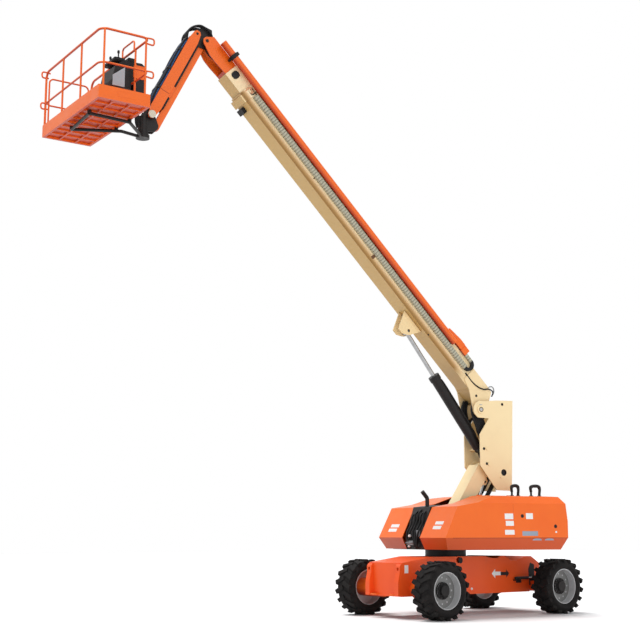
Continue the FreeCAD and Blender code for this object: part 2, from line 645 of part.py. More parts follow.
def buildTowerCylinder():
    foot = Vector(-450, 0, size("deckBottom") + 143)
    eye = turntable.inverse().multVec(towerPlace.multVec(Vector(1200, 0, size("towerDepth") / 2 + 60)))
    cylinderPair("tower_cylinder", foot, eye, "62", "38", 690, 48, "130", turntable, (25, 25), 474)


def buildUpright():
    """Local origin at the tower's head pin, axes as the turntable's."""
    outline = [
        ("pivotForward - 666", "pivotUp - 1530"), ("pivotForward - 735", "pivotUp + 200"),
        ("pivotForward - 370", "pivotUp + 190"), ("pivotForward - 90", "pivotUp + 165"),
        ("pivotForward + 40", "pivotUp + 165"), ("pivotForward + 120", "pivotUp + 120"),
        ("pivotForward + 165", "pivotUp + 30"), ("pivotForward + 150", "pivotUp - 80"),
        ("pivotForward + 70", "pivotUp - 155"), ("pivotForward - 180", "pivotUp - 160"),
        ("pivotForward + 36", "pivotUp - 470"), ("pivotForward + 36", "pivotUp - 1070"),
        ("pivotForward - 320", "pivotUp - 1520")]
    pieces = []
    for index, sign in enumerate(("", "-")):
        middle = "%s(uprightWidth / 2 - uprightPlate / 2)" % sign
        pieces.append(plate("uprightPlate%d" % index, outline, "uprightPlate", middle=middle,
                            holes=[] if sign else [("-328", "-154", "62")]))
        pieces.append(rod("pivotPin%d" % index, "Y",
                          ("pivotForward", "%s(uprightWidth / 2 - 60)" % sign, "pivotUp"), "45", "136"))
        pieces.append(rod("pivotBoss%d" % index, "Y",
                          ("pivotForward", "%s(uprightWidth / 2)" % sign, "pivotUp"), "80", "30"))
    pieces.append(rod("headPin", "Y", ("0", "0", "0"), "38", "uprightWidth + 30"))
    pieces.append(rod("linkHeadPin", "Y", ("-linkBackX", "0", "-linkDownZ"), "26", "uprightWidth + 30"))
    pieces.append(rod("liftFootPin", "Y", ("pivotForward - liftFootX", "0", "pivotUp - liftFootZ"), "35",
                      "uprightWidth + 30"))
    pieces.append(slab("uprightBack", "pivotForward - 712", "pivotUp - 700",
                       ("16", "uprightWidth - uprightPlate", "880")))
    pieces.append(slab("uprightTie", "pivotForward - 560", "pivotUp - 620",
                       ("200", "uprightWidth - uprightPlate", "16")))
    node(fuse("upright", pieces), uprightPlace)


# ---------------------------------------------------------------- boom

boomPivot = uprightPlace.multVec(Vector(size("pivotForward"), 0, size("pivotUp")))
boomPlace = Placement(boomPivot, Rotation(upAxis, size("slewAngle"))).multiply(
    Placement(Vector(), turned(size("boomAngle"))))


def section(name, start, end, step):
    """One hollow boom section; each step inwards is the same on every side."""
    outer = slab(name + "Outer", start, "boomFloor + %d * sectionStep" % step,
                 ("%s - (%s)" % (end, start), "boomWidth - %d * sectionStep" % (2 * step),
                  "boomHeight - %d * sectionStep" % (2 * step)))
    inner = slab(name + "Inner", "%s - 10" % start, "boomFloor + %d * sectionStep + boomWall" % step,
                 ("%s - (%s) + 20" % (end, start), "boomWidth - %d * sectionStep - 2 * boomWall" % (2 * step),
                  "boomHeight - %d * sectionStep - 2 * boomWall" % (2 * step)))
    return cut(name + "Tube", outer, [inner])


def pads(name, x, step, inside):
    """Four wear pads between two sections, at the outer one's nose or the inner one's tail."""
    gap = "(sectionStep - boomWall)"
    grow = "seat" if inside else "0"
    trim = "0" if inside else "seat"
    low = "boomFloor + %d * sectionStep" % step
    high = "boomFloor + boomHeight - %d * sectionStep" % step
    half = "(boomWidth / 2 - %d * sectionStep)" % step
    return [slab(name + "Floor", x, "%s - %s + %s" % (low, gap, trim),
                 ("120", "%s" % half, "%s - seat" % gap)),
            slab(name + "Roof", x, "%s + %s" % (high, grow), ("120", "%s" % half, "%s - seat" % gap)),
            slab(name + "Left", x, "%s + 60" % low, ("120", "%s - seat" % gap, "120"),
                 y="%s + %s / 2 + seat / 2" % (half, gap) if inside else "%s + %s / 2 - seat / 2" % (half, gap)),
            slab(name + "Right", x, "%s + 60" % low, ("120", "%s - seat" % gap, "120"),
                 y="-(%s + %s / 2 + seat / 2)" % (half, gap) if inside else "-(%s + %s / 2 - seat / 2)" % (half, gap))]


def buildBoom():
    pieces = [section("base", "120", "baseNose", 0)]
    for index, sign in enumerate(("", "-")):
        middle = "%s(boomWidth / 2 + 8)" % sign
        pieces.append(plate("boomFoot%d" % index, [
            ("-130", "-40"), ("-80", "-110"), ("60", "-120"), ("420", "boomFloor - 15"), ("640", "boomFloor + 40"),
            ("640", "boomFloor + boomHeight - 20"), ("60", "boomFloor + boomHeight - 20"), ("-120", "130")],
            "18", middle=middle, holes=[("0", "0", "45 + pinGap")]))
        pieces.append(plate("liftEar%d" % index, [
            ("liftEyeX - 190", "boomFloor + 5"), ("liftEyeX - 80", "-liftEyeZ - 30"),
            ("liftEyeX - 45", "-liftEyeZ - 75"), ("liftEyeX + 60", "-liftEyeZ - 150"),
            ("liftEyeX + 170", "-liftEyeZ - 150"), ("liftEyeX + 340", "boomFloor + 5")],
            "22", middle="%s(100)" % sign, holes=[("liftEyeX", "-liftEyeZ", "29 + pinGap")]))
    pieces.append(slab("footFloor", "70", "boomFloor - 12", ("360", "boomWidth", "12")))
    pieces.append(slab("tailPlate", "122", "boomFloor + 30", ("10", "boomWidth - 12", "boomHeight - 110")))
    pieces.append(slab("noseCollarOuter", "baseNose - 190", "boomFloor - 40",
                       ("150", "boomWidth + 50", "190")))
    collarHole = slab("noseCollarInner", "baseNose - 200", "boomFloor + boomWall / 2",
                      ("170", "boomWidth - boomWall", "boomHeight - boomWall"))
    collar = cut("noseCollar", pieces.pop(), [collarHole])
    node(fuse("base_boom", pieces + [collar]), boomPlace)
    node(named("mid_boom", section("mid", "sectionTail", "midNose", 1)), boomPlace)
    nose = [section("fly", "2 * sectionTail", "noseOpening", 2)]
    cheekY = "(boomWidth / 2 - 2 * sectionStep - 11)"
    for index, sign in enumerate(("", "-")):
        nose.append(plate("noseCheek%d" % index, [
            ("noseOpening - 60", "boomFloor + 2 * sectionStep"), ("flyNose - 130", "boomFloor + 20"),
            ("flyNose + 30", "boomFloor + 20"), ("knuckleAlong + 20", "knuckleOver - 75"),
            ("knuckleAlong + 70", "knuckleOver - 25"), ("knuckleAlong + 70", "knuckleOver + 30"),
            ("knuckleAlong - 20", "boomFloor + boomHeight - 2 * sectionStep"),
            ("noseOpening - 60", "boomFloor + boomHeight - 2 * sectionStep")],
            "22", middle=sign + cheekY, holes=[("knuckleAlong", "knuckleOver", "30 + pinGap")]))
    nose.append(slab("noseRoof", "noseOpening - 10", "boomFloor + boomHeight - 2 * sectionStep - 12",
                     ("flyNose - noseOpening - 40", "2 * %s" % cheekY, "12")))
    node(fuse("fly_boom", nose), boomPlace)
    node(group("base_pads", pads("basePad", "baseNose - 130", 1, True)), boomPlace)
    node(group("mid_tail_pads", pads("midTailPad", "sectionTail + 10", 1, False)), boomPlace)
    node(group("mid_nose_pads", pads("midPad", "midNose - 130", 2, True)), boomPlace)
    node(group("fly_tail_pads", pads("flyTailPad", "2 * sectionTail + 10", 2, False)), boomPlace)


def buildCableTrack():
    """A ribbed tray on the base boom's left side, a loop that follows at half speed, and the push tube."""
    tray = [slab("trayFloor", "trayStart", "trackFloor - 14", ("trayEnd - trayStart", "74 - seat", "8"),
                 y="boomWidth / 2 + seat + (74 - seat) / 2"),
            slab("trayWall", "trayStart", "trackFloor - 14", ("trayEnd - trayStart", "10", "90"),
                 y="boomWidth / 2 + 69")]
    pitch = "(trayEnd - trayStart - 60) / trayRibs"
    for index in range(int(size("trayRibs"))):
        tray.append(slab("trayRib%d" % index, "trayStart + 30 + %d * %s" % (index, pitch), "trackFloor - 8",
                         ("50", "10", "78"), y="boomWidth / 2 + 74"))
    node(fuse("cable_track_tray", tray), boomPlace)
    middle = "(trackFloor + trackRise / 2)"
    ring = cut("trackRing", rod("trackOuter", "Y", ("trackStart", "trackY", middle), "trackRise / 2",
                                "cableTrackWidth"),
               [rod("trackInner", "Y", ("trackStart", "trackY", middle), "trackRise / 2 - trackHeight", "200"),
                slab("trackHalf", "trackStart", middle + " - 300", ("400", "200", "600"), y="trackY")])
    node(named("cable_track_loop", ring), boomPlace)
    rail = rod("pushTubeBar", "X", ("(1300 + flyNose + 50) / 2", "pushTubeY", "pushTubeOver"), "pushTube / 2",
               "flyNose + 50 - 1300")
    shoe = plate("pushTubeShoe", [("960", "545"), ("985", "484"), ("1560", "484"), ("1560", "576"),
                                  ("1400", "600"), ("1250", "622"), ("1120", "622"), ("1000", "588")],
                 "150", middle="boomWidth / 2 - 31")
    arm = slab("trackArm", "960", "trackFloor + trackRise - trackHeight",
               ("130", "44", "140"), y="trackY")
    clamp = slab("tubeClamp", "flyNose - 305", "boomFloor + boomHeight - 2 * sectionStep + seat",
                 ("90", "pushTubeY - 60", "pushTubeOver + 68 - boomFloor - boomHeight + 2 * sectionStep - seat"),
                 y="(pushTubeY + 60) / 2")
    node(fuse("push_tube", [rail, shoe, arm, clamp]), boomPlace)
    node(named("cable_track_upper", slab("trackUpper", "trackStart + seat",
                                         "trackFloor + trackRise - trackHeight",
                                         ("960 - trackStart - 2 * seat", "cableTrackWidth", "trackHeight"),
                                         y="trackY")), boomPlace)


def buildLiftCylinder():
    foot = Vector(size("pivotForward") - size("liftFootX"), 0, size("pivotUp") - size("liftFootZ"))
    eye = uprightPlace.inverse().multVec(boomPlace.multVec(Vector(size("liftEyeX"), 0, -size("liftEyeZ"))))
    cylinderPair("lift_cylinder", foot, eye, "liftBarrel / 2", "liftRod / 2", 1690, 62, "140", uprightPlace, (35, 29), 450)


# ---------------------------------------------------------------- jib and basket

knuckle = turntable.inverse().multVec(boomPlace.multVec(Vector(size("knuckleAlong"), 0, size("knuckleOver"))))
knucklePlace = turntable.multiply(Placement(knuckle, Rotation()))
jibRoot = knuckle + Vector(size("jibForward"), 0, size("jibUp"))
jibLow = jibRoot - Vector(size("jibOffsetX"), 0, size("jibOffsetZ"))
jibPlace = turntable.multiply(Placement(jibRoot, turned(-size("jibAngle"))))
jibLowPlace = turntable.multiply(Placement(jibLow, turned(-size("jibAngle"))))
endPin = jibRoot + turned(-size("jibAngle")).multVec(Vector(size("jibLength"), 0, 0))
endPlace = turntable.multiply(Placement(endPin, Rotation()))
rotatorPlace = endPlace.multiply(Placement(Vector(size("rotatorReach"), 0, size("basketFloor") - endPin.z),
                                           Rotation(upAxis, size("basketAngle"))))
basketPlace = rotatorPlace.multiply(Placement(Vector(size("basketReach"), size("basketShift"), 0), Rotation()))


def buildKnuckle():
    """Local origin at the knuckle pin."""
    pieces = []
    lowX, lowZ = "(jibForward - jibOffsetX)", "(jibUp - jibOffsetZ)"
    for index, sign in enumerate(("", "-")):
        pieces.append(plate("knucklePlate%d" % index, [
            ("jibForward + 40", "jibUp - 30"), ("jibForward + 40", "jibUp + 40"), ("jibForward - 30", "jibUp + 120"),
            ("0", "jibUp + 190"), ("-120", "jibUp + 150"), ("-140", "20"), ("-60", "-60"),
            (lowX + " - 30", lowZ + " - 40"), (lowX + " + 40", lowZ + " - 20")], "16",
            middle="%s(jibWidth / 2 - 82)" % sign))
        pieces.append(rod("jibPin%d" % index, "Y", ("jibForward", "%s(jibWidth / 4 + 32)" % sign, "jibUp"),
                          "24", "jibWidth / 2 - 60"))
    pieces.append(rod("jibLowPin", "Y", (lowX, "0", lowZ), "18", "jibWidth - 150"))
    pieces.append(rod("knucklePin", "Y", ("0", "0", "0"), "30", "boomWidth - 60"))
    pieces.append(slab("knuckleWeb", "-120", "-10", ("20", "jibWidth - 160", "jibUp + 120")))
    node(fuse("jib_knuckle", pieces), knucklePlace)


def buildJib():
    upper = []
    for index, sign in enumerate(("", "-")):
        upper.append(plate("jibRail%d" % index, [
            ("-60", "-30"), ("-60", "30"), ("-20", "65"), ("160", "jibUpperDepth / 2"),
            ("jibLength - 160", "jibUpperDepth / 2"), ("jibLength + 20", "60"), ("jibLength + 60", "30"),
            ("jibLength + 60", "-30"), ("jibLength + 20", "-60"), ("jibLength - 160", "-jibUpperDepth / 2"),
            ("160", "-jibUpperDepth / 2"), ("-20", "-65")], "50",
            middle="%s(jibWidth / 2 - 25)" % sign,
            holes=[("0", "0", "24 + pinGap"), ("jibLength", "0", "24 + pinGap")]))
    upper.append(slab("jibTop", "300", "jibUpperDepth / 2 - 14", ("jibLength - 700", "jibWidth - 40", "12")))
    node(fuse("jib_upper_beam", upper), jibPlace)
    node(named("jib_lower_beam", plate("jibLowerBar", [
        ("-45", "-30"), ("-20", "-jibLowerDepth / 2"), ("jibLength + 20", "-jibLowerDepth / 2"),
        ("jibLength + 45", "-30"), ("jibLength + 45", "30"), ("jibLength + 20", "jibLowerDepth / 2"),
        ("-20", "jibLowerDepth / 2"), ("-45", "30")], "jibWidth - 200",
        holes=[("0", "0", "18 + pinGap"), ("jibLength", "0", "18 + pinGap")])), jibLowPlace)


def buildEndBracket():
    """Local origin at the jib's end pin; it carries the basket's rotator."""
    floor = "%.3f" % (size("basketFloor") - endPin.z)
    pieces = []
    for index, sign in enumerate(("", "-")):
        pieces.append(plate("endPlate%d" % index, [
            ("-jibOffsetX - 30", "-jibOffsetZ - 30"), ("-jibOffsetX - 35", "-jibOffsetZ + 20"), ("-50", "60"),
            ("30", "90"), ("rotatorReach", "70"), ("rotatorReach + 60", "-60"), ("rotatorReach + 60", floor + " + 30"),
            ("-jibOffsetX + 30", floor + " + 60")], "16", middle="%s(jibWidth / 2 - 82)" % sign))
        pieces.append(rod("endPin%d" % index, "Y", ("0", "%s(jibWidth / 4 + 32)" % sign, "0"),
                          "24", "jibWidth / 2 - 60"))
    pieces.append(rod("endLowPin", "Y", ("-jibOffsetX", "0", "-jibOffsetZ"), "18", "jibWidth - 150"))
    pieces.append(rod("rotatorHousing", "Z", ("rotatorReach", "0", floor + " + 170"), "92", "300"))
    node(fuse("end_bracket", pieces), endPlace)


# ---------------------------------------------------------------- basket


def buildSupport():
    """Local origin on the rotator's axis at the basket floor's underside."""
    node(named("rotator_flange", rod("rotatorDisc", "Z", ("0", "0", "(20 - seat - 15) / 2"), "100", "35 - seat")), rotatorPlace)
    z = -52
    x0, y0 = size("basketReach"), size("basketShift")
    arms = [((0, 0, z), (x0 - 500, y0 + 10, z), (x0 + 250, y0 - 370, z)),
            ((0, 0, z), (x0 - 420, y0 + 510, z), (x0 + 320, y0 + 550, z))]
    pieces = [rod("supportHub", "Z", ("0", "0", "-45 - seat"), "120", "60")]
    arms.append(((x0 + 250, y0 - 370, z), (x0 + 320, y0 + 550, z)))
    for index, points in enumerate(arms):
        pieces.append(bentTube("supportArm%d" % index, points, 28, 60))
    for index, (x, y) in enumerate(((x0 + 250, y0 - 370), (x0 + 320, y0 + 550), (x0 - 420, y0 + 510),
                                    (x0 - 420, y0 - 30))):
        pieces.append(rod("supportFoot%d" % index, "Z", ("%f" % x, "%f" % y, "(%d - seat) / 2" % z), "34",
                          "%d - seat" % -z))
    node(fuse("basket_support", pieces), rotatorPlace)


def buildBasket():
    floor = slab("floorSheet", "-basketDepth / 2", "34", ("basketDepth", "basketLength", "6"))
    rim = cut("floorRim", slab("floorRimOuter", "-basketDepth / 2", "0", ("basketDepth", "basketLength", "38")),
              [slab("floorRimInner", "-basketDepth / 2 + 45", "-5", ("basketDepth - 90", "basketLength - 90", "60"))])
    ribs = []
    for index in range(9):
        ribs.append(slab("floorRib%d" % index, "-basketDepth / 2 + 20", "8", ("basketDepth - 40", "30", "28"),
                         y="(%d * (basketLength - 100) / 10)" % (index - 4)))
    node(fuse("basket_floor", [floor, rim] + ribs), basketPlace)
    board = cut("toeShell", slab("toeOuter", "-basketDepth / 2", "40 + seat",
                                 ("basketDepth", "basketLength", "toeHeight")),
                [slab("toeInner", "-basketDepth / 2 + 5", "30", ("basketDepth - 10", "basketLength - 10", "300")),
                 box("toeGate", ("-basketDepth / 2 + 60", "-basketLength / 2 - 10", "30"),
                     ("basketDepth - 120", "60", "300"))])
    node(named("toe_boards", board), basketPlace)
    x, y = size("basketDepth") / 2 - 27, size("basketLength") / 2 - 27
    top, mid, low = size("railHeight") - size("railRadius"), size("midRailHeight"), 40.3
    radius = size("railRadius")
    rails = []
    for index, level in enumerate((top, mid)):
        for letter, side in (("A", 1), ("B", -1)):
            run = [(side * x, -y, level), (side * x, y, level), (0, y, level)]
            if level == top:
                run.insert(0, (side * x, -y, low))
            rails.append(bentTube("rail%d%s" % (index, letter), run, radius - 3 * index, size("cornerRadius")))
    for index, (px, py) in enumerate(((x, -y / 3), (x, y / 3), (-x, -y / 3), (-x, 660), (x - 60, y), (-x + 60, y))):
        rails.append(rod("post%d" % index, "Z", ("%f" % px, "%f" % py, "%f" % ((top + low) / 2)), "railRadius - 3",
                         "%f" % (top - low)))
    node(fuse("basket_rails", rails), basketPlace)
    gateX = x - 60
    gate = [bentTube("gateHoop", [(-gateX, -y, 100), (-gateX, -y, 1100), (gateX, -y, 1100), (gateX, -y, 100)],
                     15, 80, closed=True),
            rod("gateBar", "X", ("0", "%f" % -y, "600"), "15", "%f" % (2 * gateX))]
    for index, level in enumerate((300, 850)):
        gate.append(rod("gateHinge%d" % index, "Z", ("%f" % (-x + 32), "%f + 0" % -y, str(level)),
                        "12 - seat", "90"))
        gate.append(slab("gateLeaf%d" % index, "%f" % (-x + 32), str(level - 45),
                         ("%f" % (x - 32 - gateX), "8", "90"), y="%f" % -y))
    node(fuse("basket_gate", gate), basketPlace)
    consoleX = [-x - 232, -x - 20.3, -x - 20.3, -x + 22, -x + 22, -x + 350, -x + 370, -x + 320, -x + 170,
                -x - 170, -x - 232]
    consoleZ = [500, 500, mid + 17.3, mid + 17.3, 500, 560, 620, 870, 1000, 1010, 960]
    console = plate("controlConsole", [("%f" % px, "%f" % pz) for px, pz in zip(consoleX, consoleZ)], "510",
                    middle="305")
    node(named("control_console", console), basketPlace)
    guard = bentTube("guardHoop", [(-x, 130, top + radius + 0.3), (-x, 130, top + 185), (-x, 600, top + 185),
                                   (-x, 600, top + radius + 0.3)], 15, 60)
    node(named("console_guard", guard), basketPlace)


buildChassis()
buildAxles()
buildSteering()
buildRing()
buildTieDowns()
buildWheels()
buildDeck()
buildHoods()
buildTurntableMasses()
buildHoodHandles()
buildTower()
buildTowerCylinder()
buildUpright()
buildBoom()
buildCableTrack()
buildLiftCylinder()
buildKnuckle()
buildJib()
buildEndBracket()
buildSupport()
buildBasket()

doc.recompute()
for item in doc.Objects:
    if "Invalid" in item.State or "Error" in item.State:
        raise RuntimeError("%s: %s" % (item.Name, item.getStatusString()))
for item in nodes:
    if item.Shape.isNull() or not item.Shape.isValid():
        raise RuntimeError("%s has no valid shape" % item.Name)

os.makedirs("parts", exist_ok=True)
for item in nodes:
    item.Shape.exportStep("parts/%s.step" % item.Label)
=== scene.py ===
import bpy, bmesh
import json, math
from mathutils import Vector, Matrix


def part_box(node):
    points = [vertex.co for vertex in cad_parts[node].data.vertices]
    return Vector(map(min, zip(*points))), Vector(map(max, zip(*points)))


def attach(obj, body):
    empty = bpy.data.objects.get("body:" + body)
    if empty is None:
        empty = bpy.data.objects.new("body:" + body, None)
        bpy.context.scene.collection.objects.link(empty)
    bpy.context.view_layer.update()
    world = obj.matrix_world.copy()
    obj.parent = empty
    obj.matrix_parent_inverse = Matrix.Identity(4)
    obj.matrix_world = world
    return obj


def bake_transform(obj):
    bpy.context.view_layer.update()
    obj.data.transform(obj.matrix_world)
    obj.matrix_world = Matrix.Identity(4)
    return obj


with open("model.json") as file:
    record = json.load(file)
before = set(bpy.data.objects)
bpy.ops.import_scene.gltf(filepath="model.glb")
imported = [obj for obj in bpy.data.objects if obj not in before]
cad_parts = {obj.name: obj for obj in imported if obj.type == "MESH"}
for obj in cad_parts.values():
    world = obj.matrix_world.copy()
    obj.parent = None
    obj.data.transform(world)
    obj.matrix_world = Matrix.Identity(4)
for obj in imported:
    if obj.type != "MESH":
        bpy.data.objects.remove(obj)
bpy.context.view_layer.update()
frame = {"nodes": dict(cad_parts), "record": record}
nodes = frame["nodes"]
record = frame["record"]
joints = {joint["name"]: joint for joint in record["behaviour"]["joints"]}
print("frame loaded")


def newMaterial(name):
    mat = bpy.data.materials.new(name)
    mat.use_nodes = True
    tree = mat.node_tree
    return mat, tree, tree.nodes["Principled BSDF"]


# give a node's inputs plain values, colours, or other nodes' outputs
def feed(tree, node, inputs):
    for name, value in inputs.items():
        if isinstance(value, bpy.types.NodeSocket):
            tree.links.new(value, node.inputs[name])
        elif isinstance(value, tuple):
            node.inputs[name].default_value = (*value, 1)
        else:
            node.inputs[name].default_value = value


def addNode(tree, kind, inputs, **settings):
    node = tree.nodes.new(kind)
    for key, value in settings.items():
        setattr(node, key, value)
    feed(tree, node, inputs)
    return node


def mathNode(tree, operation, inputs):
    return addNode(tree, "ShaderNodeMath", inputs, operation=operation).outputs[0]


def objectPlace(tree):
    place = tree.nodes.get("place") or tree.nodes.new("ShaderNodeTexCoord")
    place.name = "place"
    return place.outputs["Object"]


# scale, detail and roughness of each surface's noise
grain = {"drift": (1.3, 3, 0.55), "paintDust": (3.5, 9, 0.7), "paintSheen": (6, 5, 0.55),
         "paintSkin": (220, 2, 0.55), "rodStreak": (14, 5, 0.55), "rodSheen": (60, 3, 0.55),
         "rubberDust": (7, 8, 0.65), "rubberSkin": (140, 5, 0.55), "linkDust": (6, 6, 0.55)}


def noise(tree, kind):
    scale, detail, roughness = grain[kind]
    inputs = {"Vector": objectPlace(tree), "Scale": scale, "Detail": detail, "Roughness": roughness}
    return addNode(tree, "ShaderNodeTexNoise", inputs).outputs["Fac"]


def ramp(tree, source, positions, colours):
    node = addNode(tree, "ShaderNodeValToRGB", {"Fac": source})
    elements = node.color_ramp.elements
    while len(elements) < len(colours):
        elements.new(0.5)
    for element, position, colour in zip(elements, positions, colours):
        element.position = position
        element.color = (*colour, 1)
    return node.outputs["Color"]


# a noise in grey, with these values at these positions
def mottle(tree, kind, positions, values):
    return ramp(tree, noise(tree, kind), positions, [(v, v, v) for v in values])


def mixColours(tree, factor, first, second):
    inputs = {"Factor": factor, "A": first, "B": second}
    return addNode(tree, "ShaderNodeMix", inputs, data_type="RGBA").outputs["Result"]


def bump(tree, shader, height, strength, depth):
    node = addNode(tree, "ShaderNodeBump", {"Height": height, "Strength": strength, "Distance": depth})
    feed(tree, shader, {"Normal": node.outputs["Normal"]})


# how far a point lies along a direction, from a spot
def reach(tree, along, spot):
    dot = addNode(tree, "ShaderNodeVectorMath", {0: objectPlace(tree), 1: along}, operation="DOT_PRODUCT")
    return mathNode(tree, "SUBTRACT", {0: dot.outputs["Value"], 1: along.dot(spot)})


# a value brought to 0 at low and to 1 at high
def spanned(tree, value, low, high):
    inputs = {"Value": value, "From Min": low, "From Max": high}
    return addNode(tree, "ShaderNodeMapRange", inputs).outputs["Result"]


def shadeBandMask(tree, look):
    return spanned(tree, reach(tree, look["along"], look["spot"]), *look["start"])


def shadeBandColours(tree, look):
    low, high = look["shadeBandSpan"]
    height = spanned(tree, reach(tree, look["across"], look["spot"]), low, high)
    levels, colours = zip(*look["shadeBands"])
    return ramp(tree, height, [(level - low) / (high - low) for level in levels], colours)


def paint(name, look):
    coat = {"drift": (0.35, 0.7), "under": (-0.1, -0.65), "dust": (0.55, 0.8), "sheen": (0.3, 0.75),
            "sheenSpread": (-0.05, 0.08), "gloss": 0.35, "skin": (0.05, 0.0005)}
    mat, tree, shader = newMaterial(name)
    colour = ramp(tree, noise(tree, "drift"), coat["drift"], (look["colour"], look["shade"]))
    # painted shade and highlight in bands up the side, where a look has them
    if "shadeBands" in look:
        colour = mixColours(tree, shadeBandMask(tree, look), colour, shadeBandColours(tree, look))
    # painted shade: faces turned downwards blend towards a darker colour, the more the further down they face
    if "under" in look:
        surface = tree.nodes.new("ShaderNodeNewGeometry")
        parts = addNode(tree, "ShaderNodeSeparateXYZ", {0: surface.outputs["Normal"]})
        colour = mixColours(tree, spanned(tree, parts.outputs["Z"], *coat["under"]), colour, look["under"])
    if "dust" in look:
        patch = mottle(tree, "paintDust", coat["dust"], (0, look["dust"]))
        colour = mixColours(tree, patch, colour, look["dustColour"])
    roughness = [look["roughness"] + change for change in coat["sheenSpread"]]
    feed(tree, shader, {"Base Color": colour, "Specular IOR Level": look.get("gloss", coat["gloss"]),
                        "Roughness": mottle(tree, "paintSheen", coat["sheen"], roughness)})
    bump(tree, shader, noise(tree, "paintSkin"), *coat["skin"])
    return mat


def chromeMaterial(name):
    mat, tree, shader = newMaterial(name)
    feed(tree, shader, {"Metallic": 1.0, "Base Color": mottle(tree, "rodStreak", (0.3, 0.75), (0.42, 0.3)),
                        "Roughness": mottle(tree, "rodSheen", (0.35, 0.7), (0.14, 0.26))})
    return mat


def rubberMaterial(name, look):
    skin = {"dust": (0.4, 0.75), "gloss": 0.18, "bump": (0.2, 0.0012)}
    mat, tree, shader = newMaterial(name)
    patch = mottle(tree, "rubberDust", skin["dust"], (0, look["dust"]))
    feed(tree, shader, {"Base Color": mixColours(tree, patch, look["colour"], look["dustColour"]),
                        "Roughness": look["roughness"], "Specular IOR Level": skin["gloss"]})
    bump(tree, shader, noise(tree, "rubberSkin"), *skin["bump"])
    return mat


# colour bands across a run, for chain links seen from the side; the darker gap colour is painted shade between
# the links
def bandedMaterial(name, along, look):
    mat, tree, shader = newMaterial(name)
    turns = reach(tree, along * (2 * math.pi / look["pitch"]), Vector())
    height = spanned(tree, mathNode(tree, "SINE", {0: turns}), -1, 1)
    shadeBands = ramp(tree, height, (0.22, 0.5), (look["gap"], look["link"]))
    patch = mottle(tree, "linkDust", (0.4, 0.8), (0, look["dust"]))
    feed(tree, shader, {"Base Color": mixColours(tree, patch, shadeBands, look["dustColour"]),
                        "Roughness": look["roughness"]})
    bump(tree, shader, height, look["strength"], look["depth"])
    return mat


def axisOf(name):
    return Vector(joints[name]["axis"]).normalized()


def spotOf(name):
    return Vector(joints[name]["pos_m"])


def frameAt(origin, along, left):
    up = along.cross(left).normalized()
    return Matrix.Translation(origin) @ Matrix((along, left, up)).transposed().to_4x4()


upward = Vector((0, 0, 1))
left = -axisOf("main_lift")
forward = left.cross(upward).normalized()
boomAlong = axisOf("boom_extend")
turntableFrame = frameAt(Vector((0, 0, 0)), forward, left)
boomFrame = frameAt(spotOf("main_lift"), boomAlong, left)
uprightFrame = frameAt(spotOf("main_lift"), forward, left)
jibAlong = (spotOf("end_bracket_level") - spotOf("jib_lift")).normalized()
jibFrame = frameAt(spotOf("jib_lift"), jibAlong, left)
endFrame = frameAt(spotOf("end_bracket_level"), forward, left)
# the basket is square to the boom at the middle of its turning range
floorLow, floorHigh = [Vector(corner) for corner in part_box("basket_floor")]
basketTurn = Matrix.Rotation(-math.radians(sum(joints["basket_rotate"]["range_deg"]) / 2), 3, "Z")
basketOrigin = Vector(((floorLow.x + floorHigh.x) / 2, (floorLow.y + floorHigh.y) / 2, floorLow.z))
basketFrame = frameAt(basketOrigin, basketTurn @ forward, basketTurn @ left)
chassisFrame = Matrix.Identity(4)
